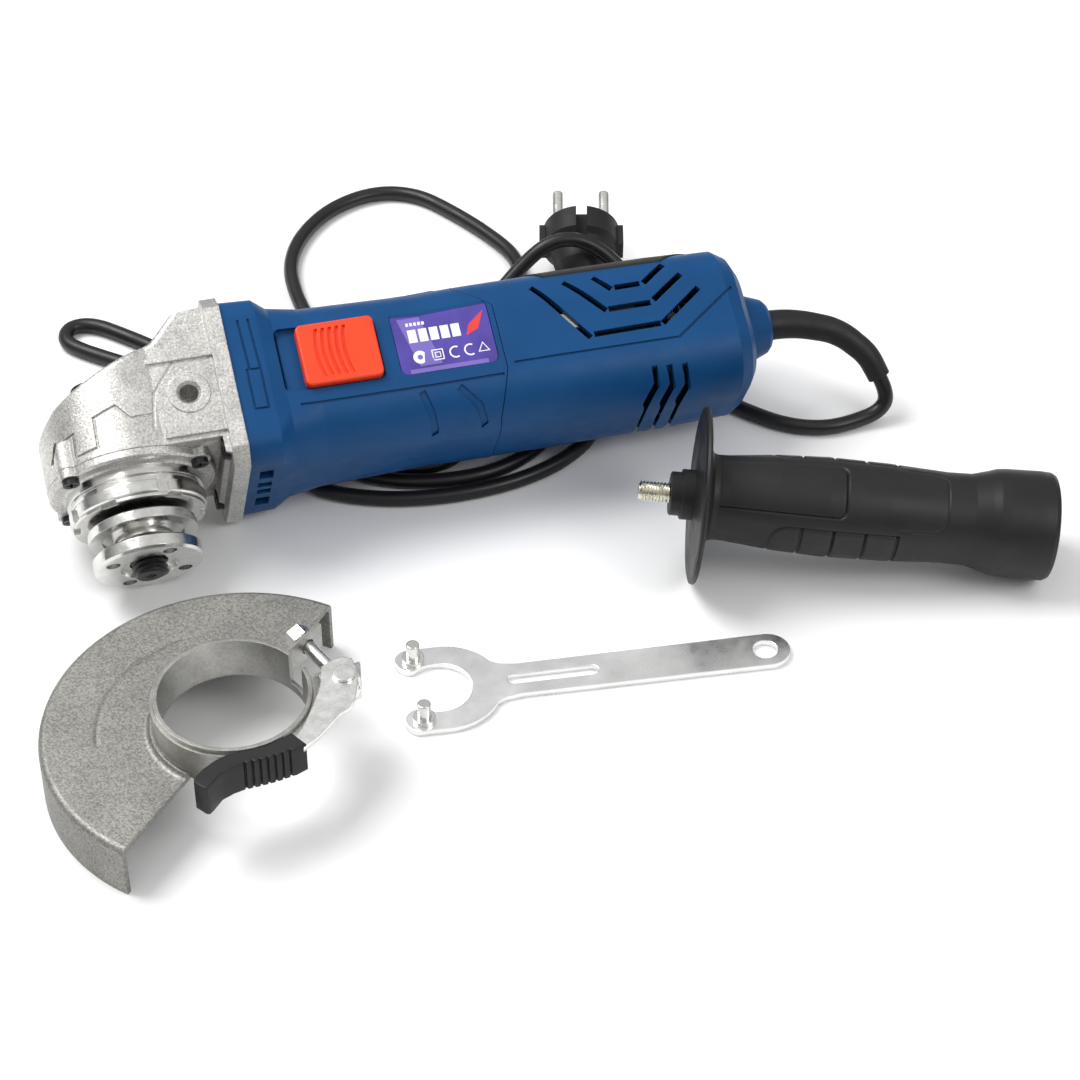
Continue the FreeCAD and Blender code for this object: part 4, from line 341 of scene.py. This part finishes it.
# ------------------------------------------------------------------ bearings and gears
# Ball bearings of polished steel and a pair of hardened gears, which are a darker grey with machining
# marks. None of them shows on the closed tool.
dress(bright_steel, "spindle_bearing", "front_bearing", "rear_bearing", "clamp_screws")
gear_steel = surface("gear_steel", (0.3, 0.3, 0.31), (0.3, 0.45), metal=1.0)
dress(gear_steel, "crown_gear", "pinion")
dress(surface("bronze", (0.5, 0.3, 0.15), (0.35, 0.5), metal=0.9), "spindle_top_bush")

# ------------------------------------------------------------------ motor
# A series motor: laminated steel cores, copper windings and commutator, brass brush holders with
# carbon brushes on springs, and a black fan. It is hidden in the housing behind the vents.
dress(gear_steel, "stator_core", "armature_core")
dress(bright_steel, "armature_shaft", "brush_springs")
dress(surface("copper_wire", (0.6, 0.25, 0.12), (0.25, 0.4), metal=0.9, grain=0.0006, depth=0.0001),
      "armature_winding", "field_coils", "commutator", "brush_holders")
dress(surface("pressed_carbon", (0.03, 0.03, 0.03), (0.5, 0.6)), "carbon_brushes")
dress(black_plastic, "fan")
dress(lead_moulding, "bearing_boot")

# ------------------------------------------------------------------ side handle
# The grip and its hand flange are one moulding of black plastic. Both flanks carry an inset panel,
# a larger outline round it and rows of finger grooves above and below; it screws on by a steel stud.
def millimetre_frame(at, turn, tilt):
    """The frame of a piece drawn in millimetres: placed at, turned about Z, then tilted about Y."""
    return (Matrix.Translation(row_point(at)) @ Matrix.Rotation(math.radians(turn), 4, "Z")
            @ Matrix.Rotation(math.radians(tilt), 4, "Y") @ Matrix.Scale(0.001, 4))


def turned_grid(name, frame, profile, around, step, relief=None, crease=28):
    """A mesh turned about X from a profile of (x, radius); relief adds to the radius at (x, angle)."""
    stations = []
    for (x0, r0), (x1, r1) in zip(profile, profile[1:]):
        count = max(1, int(math.hypot(x1 - x0, r1 - r0) / step))
        stations += [(x0 + (x1 - x0) * k / count, r0 + (r1 - r0) * k / count) for k in range(count)]
    stations.append(profile[-1])
    verts = []
    for x, r in stations:
        for k in range(around):
            angle = 2 * math.pi * k / around
            radius = r + (relief(x, angle) if relief and r > 0.01 else 0)
            verts.append(frame @ Vector((x, radius * math.cos(angle), radius * math.sin(angle))))
    faces = []
    for i in range(len(stations) - 1):
        for k in range(around):
            after = (k + 1) % around
            faces.append((i * around + k, i * around + after, (i + 1) * around + after, (i + 1) * around + k))
    last = (len(stations) - 1) * around
    faces.append(tuple(range(around))[::-1])
    faces.append(tuple(range(last, last + around)))
    obj = mesh_object(name, verts, faces, smooth=True)
    obj.data.set_sharp_from_angle(angle=math.radians(crease))
    return obj


HANDLE_FRAME = millimetre_frame((50.2, -26.5, 32.5), -17.4, 5.455)
GRIP_FACE = math.radians(118.0)           # middle of the panel that faces up and out
GRIP_PROFILE = ((-8.5, 3.96), (-8.5, 7.6), (-8.1, 8.0), (-4.5, 8.0), (-4.5, 8.9), (-4.2, 9.2), (0.0, 9.2),
                (0.8, 14.0), (1.2, 24.0), (1.0, 30.6), (1.5, 32.2), (2.4, 32.5), (3.2, 31.9), (3.6, 24.0),
                (5.4, 17.6), (6.2, 16.0), (8.0, 15.5), (12.0, 15.6), (30.0, 17.4), (48.0, 18.2), (70.0, 17.8),
                (92.0, 16.6), (101.0, 16.8), (107.0, 18.4), (110.0, 19.4), (113.0, 19.7), (126.0, 20.0),
                (129.5, 19.8), (131.0, 19.0), (131.5, 17.8), (131.5, 15.0), (130.6, 14.2), (130.6, 0.0))


def rounded_box_distance(x, s, x0, x1, half, corner):
    """Signed distance to a rounded rectangle from x0 to x1 and half high; negative inside."""
    dx = abs(x - (x0 + x1) / 2) - (x1 - x0) / 2 + corner
    ds = abs(s) - half + corner
    return math.hypot(max(dx, 0), max(ds, 0)) + min(max(dx, ds), 0) - corner


def line_dent(distance, width, depth):
    return -depth * math.exp(-(distance / width) ** 2)


RELIEF_START, RELIEF_END = 8.5, 104
GRIP_MEAN_RADIUS = 17.5
PANEL_BOX = (6.0, 54.0, 10.3, 3.0)        # from, to, half height and corner radius
PANEL_SINK = 0.35
OUTLINE_BOX = (-20.0, 91.0, 13.2, 5.5)
OUTLINE_FADE = 73.0                       # the outline starts to show here
FINGERS_BOX = (28.0, 120.0, 10.5, 6.0)
FINGERS_AWAY = 26.0                       # from the panel's middle, round the grip
FINGERS_END = 74
FINGER_GROOVES = 4
FIRST_GROOVE = 38.8
GROOVE_PITCH = 11.6


def grip_relief(x, angle):
    """Panel outlines and finger grooves of the grip, in millimetres, the same on both flanks."""
    if x < RELIEF_START or x > RELIEF_END:
        return 0.0
    turn = (angle - GRIP_FACE + math.pi / 2) % math.pi - math.pi / 2
    s = turn * GRIP_MEAN_RADIUS
    panel = rounded_box_distance(x, s, *PANEL_BOX)
    outline = rounded_box_distance(x, s, *OUTLINE_BOX)
    height = line_dent(panel, 0.42, 0.6) - (PANEL_SINK if panel < 0 else 0.0)
    height += line_dent(outline, 0.4, 0.45) * min(1.0, max(0.0, (x - OUTLINE_FADE) / 6.0))
    fingers = rounded_box_distance(x, abs(s) - FINGERS_AWAY, *FINGERS_BOX)
    if x < FINGERS_END:
        height += line_dent(fingers, 0.4, 0.55)
        if fingers < 0:
            for k in range(FINGER_GROOVES):
                height += line_dent(x - FIRST_GROOVE - GROOVE_PITCH * k, 0.45, 0.85)
    return height


handle = turned_grid("side_handle_grip", HANDLE_FRAME, GRIP_PROFILE, 300, 0.42, grip_relief)
handle.data.materials.append(surface("handle_plastic", (0.011, 0.011, 0.011), (0.4, 0.52), tint=0.15,
                                     patch=0.03, grain=0.0005, depth=0.00003, edge=0, shine=0.35))
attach(handle, "side_handle")
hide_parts("handle_grip")


def screw_thread(pitch, depth):
    """Relief of a V thread that runs round and along X."""
    def relief(x, angle):
        phase = (x / pitch - angle / (2 * math.pi)) % 1.0
        return -depth * abs(2 * phase - 1)
    return relief


STUD_PROFILE = ((-20.0, 0.0), (-20.0, 2.9), (-19.2, 3.8), (-6.0, 3.8), (28.0, 3.8), (28.0, 0.0))
stud = turned_grid("side_handle_stud", HANDLE_FRAME, STUD_PROFILE, 48, 0.16, screw_thread(1.25, 0.7), 60)
stud_zinc = surface("stud_zinc", (0.74, 0.72, 0.62), (0.2, 0.3), metal=1.0, patch=0.004, edge=0)
stud.data.materials.append(stud_zinc)
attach(stud, "side_handle")
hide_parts("handle_stud")

# ------------------------------------------------------------------ pin spanner
# The plate is stamped from 2.5 mm steel sheet with rounded jaw tips, a long slot and a hanging hole.
# Two hardened pins with shoulders are riveted into the jaw.
def arc(x, y, radius, start, end, sides=16):
    """Points along an arc, angles in degrees."""
    angles = [math.radians(start + (end - start) * k / sides) for k in range(sides + 1)]
    return [(x + radius * math.cos(angle), y + radius * math.sin(angle)) for angle in angles]


def cut_plate(name, frame, outlines, low, high, bevel):
    """A plate with broken edges from closed outlines, the first its edge and the others its holes."""
    curve = bpy.data.curves.new(name, "CURVE")
    curve.dimensions = "2D"
    curve.fill_mode = "BOTH"
    for outline in outlines:
        spline = curve.splines.new("POLY")
        spline.points.add(len(outline) - 1)
        for spline_point, (x, y) in zip(spline.points, outline):
            spline_point.co = (x, y, 0, 1)
        spline.use_cyclic_u = True
    curve.extrude = (high - low) / 2 - bevel
    curve.bevel_depth = bevel
    curve.bevel_resolution = 1
    curve.offset = -bevel
    pattern = bpy.data.objects.new(name + "_pattern", curve)
    link(pattern)
    mesh = bpy.data.meshes.new_from_object(pattern.evaluated_get(bpy.context.evaluated_depsgraph_get()))
    bpy.data.objects.remove(pattern)
    mesh.name = name
    mesh.transform(frame @ Matrix.Translation((0, 0, (low + high) / 2)))
    for polygon in mesh.polygons:
        polygon.use_smooth = True
    mesh.set_sharp_from_angle(angle=math.radians(35))
    return link(bpy.data.objects.new(name, mesh))


SPANNER_FRAME = millimetre_frame((-63.5, -66.8, 0), -6.5, 0)
SPANNER_SHEET = 2.5
SPANNER_END = 126.0       # middle of the round handle end, from the pin line
half_outline = (arc(7, 0, 12.0, 0, 126) + arc(-1.0, 15.0, 5.6, 270, 90) + arc(9, 0, 20.6, 90, 30)
                + [(30.0, 8.6), (36.0, 7.6)] + arc(SPANNER_END, 0, 8.0, 90, 0))
spanner_outline = half_outline + [(x, -y) for x, y in half_outline[-2:0:-1]]
slot_outline = arc(34, 0, 2.4, 90, 270, 8) + arc(62, 0, 2.4, -90, 90, 8)
hole_outline = arc(SPANNER_END - 1.0, 0, 4.5, 0, 345, 23)
spanner = cut_plate("spanner_sheet", SPANNER_FRAME, [spanner_outline, slot_outline, hole_outline],
                    0.0, SPANNER_SHEET, 0.25)
spanner.data.materials.append(surface("rolled_steel", (0.86, 0.86, 0.85), (0.24, 0.38), metal=1.0, tint=0.08,
                                      patch=0.02, grain=0.001, depth=0.00002, edge=0))
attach(spanner, "spanner")
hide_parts("spanner_plate")
dress(bright_steel, "spanner_pins")

# ------------------------------------------------------------------ spindle and flanges
# One turned and blackened steel shaft; its M14 thread comes out through the nut. The inner flange and
# the four-hole flange nut are turned from steel and zinc plated.
SPINDLE_AXIS = BENCH @ Matrix.Rotation(math.radians(90), 4, "Z")     # its X is the bench's Y
SPINDLE_PROFILE = ((-58.8, 0.0), (-58.3, 2.2), (-58.8, 2.6), (-58.8, 5.4), (-57.9, 6.7), (-38.0, 6.7),
                   (-38.0, 5.9), (-19.0, 5.9), (-1.0, 5.0), (-1.0, 4.0), (4.6, 4.0), (4.6, 0.0))


SPINDLE_THREAD_END = -45.0     # where the thread runs out behind the nut
SPINDLE_THREAD_PITCH = 2.0
SPINDLE_THREAD_DEPTH = 1.1
spindle_relief = screw_thread(SPINDLE_THREAD_PITCH, SPINDLE_THREAD_DEPTH)


def spindle_thread(x, angle):
    return spindle_relief(x, angle) if x < SPINDLE_THREAD_END else 0.0


spindle = turned_grid("spindle_shaft", SPINDLE_AXIS, SPINDLE_PROFILE, 64, 0.2, spindle_thread, 60)
spindle.data.materials.append(black_steel)
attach(spindle, "spindle")
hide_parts("spindle")
dress(bright_steel, "inner_flange", "flange_nut")

# ------------------------------------------------------------------ guard
# Half-round guard pressed from 1.8 mm steel sheet: a flat side with a deep skirt, welded to the collar.
# It is coated in a grainy silver paint. The collar and its clamp band are plain rolled steel.
GUARD_FRAME = millimetre_frame((-131.5, -83.7, 0), 0, 0)
GUARD_START, GUARD_END = 48.0, 225.0   # degrees
SHELL_SECTION = ((66.8, 0.0), (66.8, 18.6), (66.3, 20.1), (65.0, 21.0), (34.0, 21.0), (30.5, 21.0),
                 (29.6, 21.5), (28.9, 22.6), (26.9, 22.6), (26.9, 19.2), (63.6, 19.2), (64.6, 18.6),
                 (65.0, 17.6), (65.0, 0.0))     # radius and height
PRESSED_ARC_RADIUS = 47.0
PRESSED_ARC = (100, 178)               # degrees


def shell_relief(r, z, angle):
    """A faint pressed arc on the flat side, in millimetres."""
    if z < 20.9 or not PRESSED_ARC[0] < angle < PRESSED_ARC[1]:
        return 0.0
    return line_dent(r - PRESSED_ARC_RADIUS, 0.5, 0.35)


section = []
for (r0, z0), (r1, z1) in zip(SHELL_SECTION, SHELL_SECTION[1:] + SHELL_SECTION[:1]):
    count = max(1, int(abs(r1 - r0) / 0.8)) if z0 == 21.0 else 1
    section += [(r0 + (r1 - r0) * k / count, z0 + (z1 - z0) * k / count) for k in range(count)]
verts = []
STEPS = 178
for k in range(STEPS + 1):
    degrees = GUARD_START + (GUARD_END - GUARD_START) * k / STEPS
    for r, z in section:
        angle = math.radians(degrees)
        verts.append(GUARD_FRAME @ Vector((r * math.cos(angle), r * math.sin(angle),
                                           z + shell_relief(r, z, degrees))))
width = len(section)
faces = []
for k in range(STEPS):
    for i in range(width):
        after = (i + 1) % width
        faces.append((k * width + i, (k + 1) * width + i, (k + 1) * width + after, k * width + after))
faces += [tuple(range(width)), tuple(range(STEPS * width, (STEPS + 1) * width))[::-1]]
shell = mesh_object("guard_sheet", verts, faces, smooth=True)
shell.data.set_sharp_from_angle(angle=math.radians(40))
silver_paint = surface("guard_sheet_finish", (0.33, 0.325, 0.3), (0.42, 0.55), metal=0.7, tint=0.08,
                       patch=0.02, grain=0.0009, depth=0.00012, speckle=0.5)
shell.data.materials.append(silver_paint)
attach(shell, "guard")
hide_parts("guard_shell")
guard_steel = surface("guard_steel", (0.42, 0.415, 0.39), (0.3, 0.42), metal=0.95, tint=0.12, patch=0.01,
                      grain=0.001, depth=0.00004, speckle=0.2)
dress(guard_steel, "guard_collar", "guard_clamp_band")

# ------------------------------------------------------------------ guard lever
# A zinc-plated steel arm that turns on the rivet, with a black plastic thumb piece moulded on its end.

# The clamp screw, its hexagon nut, the bracket and the rivet are plated too.
plated_steel = surface("plated_steel", (0.82, 0.82, 0.8), (0.2, 0.34), metal=1.0, tint=0.08, patch=0.008,
                       grain=0.0012, depth=0.00003)
dress(plated_steel, "guard_clamp_nut", "guard_clamp_screw", "guard_lever_bracket", "guard_lever_rivet")


def polar(points):
    return [(r * math.cos(math.radians(a)), r * math.sin(math.radians(a))) for r, a in points]


ARM_OUTLINE = ((31.5, 6), (35.5, 9), (40.0, 9), (42.6, 6), (42.8, 0), (42.3, -10), (41.8, -20), (40.6, -27),
               (38.2, -32), (37.2, -40), (37.0, -50), (37.0, -62), (31.6, -62), (29.8, -50), (28.6, -40),
               (28.2, -28), (28.8, -17), (29.8, -7), (30.4, 0))
RIVET_AT = (37.907, -2.651)
RIVET_HOLE_RADIUS = 2.45
rivet_hole = arc(*RIVET_AT, RIVET_HOLE_RADIUS, 0, 345, 23)
arm = cut_plate("guard_lever_arm", GUARD_FRAME, [polar(ARM_OUTLINE), rivet_hole], 34.6, 36.6, 0.3)
arm.data.materials.append(plated_steel)
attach(arm, "lever")
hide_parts("guard_lever")
TIP_OUTER = [(36.8, -60), (36.4, -67)]
RIB_COUNT = 7
RIB_START = -69.0         # degrees
RIB_PITCH = 4.2
RIB_DEPTH = 0.7
for rib in range(RIB_COUNT):
    angle = RIB_START - RIB_PITCH * rib
    radius = 36.1 - 0.9 * math.sin(math.radians(180 * (rib + 0.5) / 9))
    groove = radius - RIB_DEPTH
    TIP_OUTER += [(radius, angle), (groove, angle - 0.5), (groove, angle - 1.0), (radius, angle - 1.5)]
TIP_OUTLINE = TIP_OUTER + [(37.0, -102), (39.5, -107), (44.5, -110.2), (46.2, -111.5), (46.2, -113),
                           (44.0, -118), (42.5, -118.6), (38.0, -116.5), (33.5, -111.5), (30.6, -105),
                           (29.5, -97), (29.5, -80), (29.6, -60)]
tip = cut_plate("guard_lever_thumb_piece", GUARD_FRAME, [polar(TIP_OUTLINE)], 25.2, 37.8, 0.5)
tip.data.materials.append(black_plastic)
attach(tip, "lever")
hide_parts("guard_lever_tip")

# ------------------------------------------------------------------ printed label
# A gloss film let into the housing beside the switch. Its print is generic: a line of small blocks, a
# row of large ones, a slanted stripe and four plain signs.
dress(surface("label_film", (0.085, 0.06, 0.34), (0.22, 0.32), tint=0.2, patch=0.02, depth=0.000004,
              shine=0.35), "nameplate")
PRINT_GAP = 0.04       # ink and film thickness above the plate, enough to stay in front of it


HOUSING_WAIST = 112.0  # along the bench's X, where the housing is slimmest
WAIST_HEIGHT = 28.05


def film_height(x):
    """The film's surface, which follows the slight waist of the housing."""
    slope = 0.2 / 38 if x > HOUSING_WAIST else -0.6 / 42
    return WAIST_HEIGHT + slope * (x - HOUSING_WAIST) + PRINT_GAP


def flat_print(name, outline, color, below=0.0):
    """A printed shape on the label, outlined in bench millimetres."""
    verts = [BENCH @ Vector((x, y, film_height(x) - below)) for x, y in outline]
    obj = mesh_object(name, verts, [tuple(range(len(outline)))])
    obj.data.materials.append(color)
    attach(obj, "tool")
    return obj


def flat_ring(name, x, y, outer, inner, color, start=0, end=360, sides=28):
    """A ring or arc printed on the label."""
    verts = []
    for k in range(sides + 1):
        angle = math.radians(start + (end - start) * k / sides)
        for radius in (outer, inner):
            across = x + radius * math.cos(angle)
            verts.append(BENCH @ Vector((across, y + radius * math.sin(angle), film_height(across))))
    faces = [(2 * k, 2 * k + 2, 2 * k + 3, 2 * k + 1) for k in range(sides)]
    obj = mesh_object(name, verts, faces)
    obj.data.materials.append(color)
    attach(obj, "tool")
    return obj


white_ink = surface("white_ink", (0.85, 0.85, 0.87), (0.25, 0.35), tint=0.03, edge=0)
red_ink = surface("red_ink", (0.75, 0.05, 0.04), (0.25, 0.35), tint=0.05, edge=0)
pale_violet = surface("pale_violet_ink", (0.2, 0.15, 0.5), (0.25, 0.35), tint=0.08, edge=0, shine=0.35)
UNDER_PRINT = 0.02     # mm, the background tints lie this far under the letters
flat_print("pale_band", ((108.5, -6.0), (117.0, -6.0), (112.0, 13.5), (103.5, 13.5)),
           pale_violet, UNDER_PRINT)
flat_print("pale_edge", ((104.5, -8.6), (134.0, -8.6), (134.0, -6.9), (104.5, -6.9)),
           pale_violet, UNDER_PRINT)
BLOCKS_START = 106.5
for k in range(5):
    x = BLOCKS_START + 1.5 * k
    flat_print("small_block_%d" % k, ((x, 10.3), (x + 1.0, 10.3), (x + 1.0, 11.6), (x, 11.6)), white_ink)
for k in range(5):
    x = BLOCKS_START + 4.1 * k
    flat_print("large_block_%d" % k, ((x, 3.6), (x + 3.2, 3.6), (x + 3.2, 8.8), (x, 8.8)), white_ink)
flat_print("red_stripe", ((128.0, 3.4), (132.8, 5.4), (136.2, 12.6), (129.6, 7.6)), red_ink)
flat_ring("sign_disc", 109.2, -2.4, 2.6, 1.0, white_ink)
flat_ring("sign_square", 115.9, -2.4, 3.1, 2.5, white_ink, 45, 405, 4)
flat_ring("sign_square_inner", 115.9, -2.4, 1.6, 1.1, white_ink, 45, 405, 4)
flat_ring("sign_arc_one", 122.6, -2.4, 2.4, 1.8, white_ink, 60, 300)
flat_ring("sign_arc_two", 128.2, -2.4, 2.4, 1.8, white_ink, 60, 300)
flat_ring("sign_triangle", 133.2, -2.6, 2.6, 1.9, white_ink, 90, 450, 3)
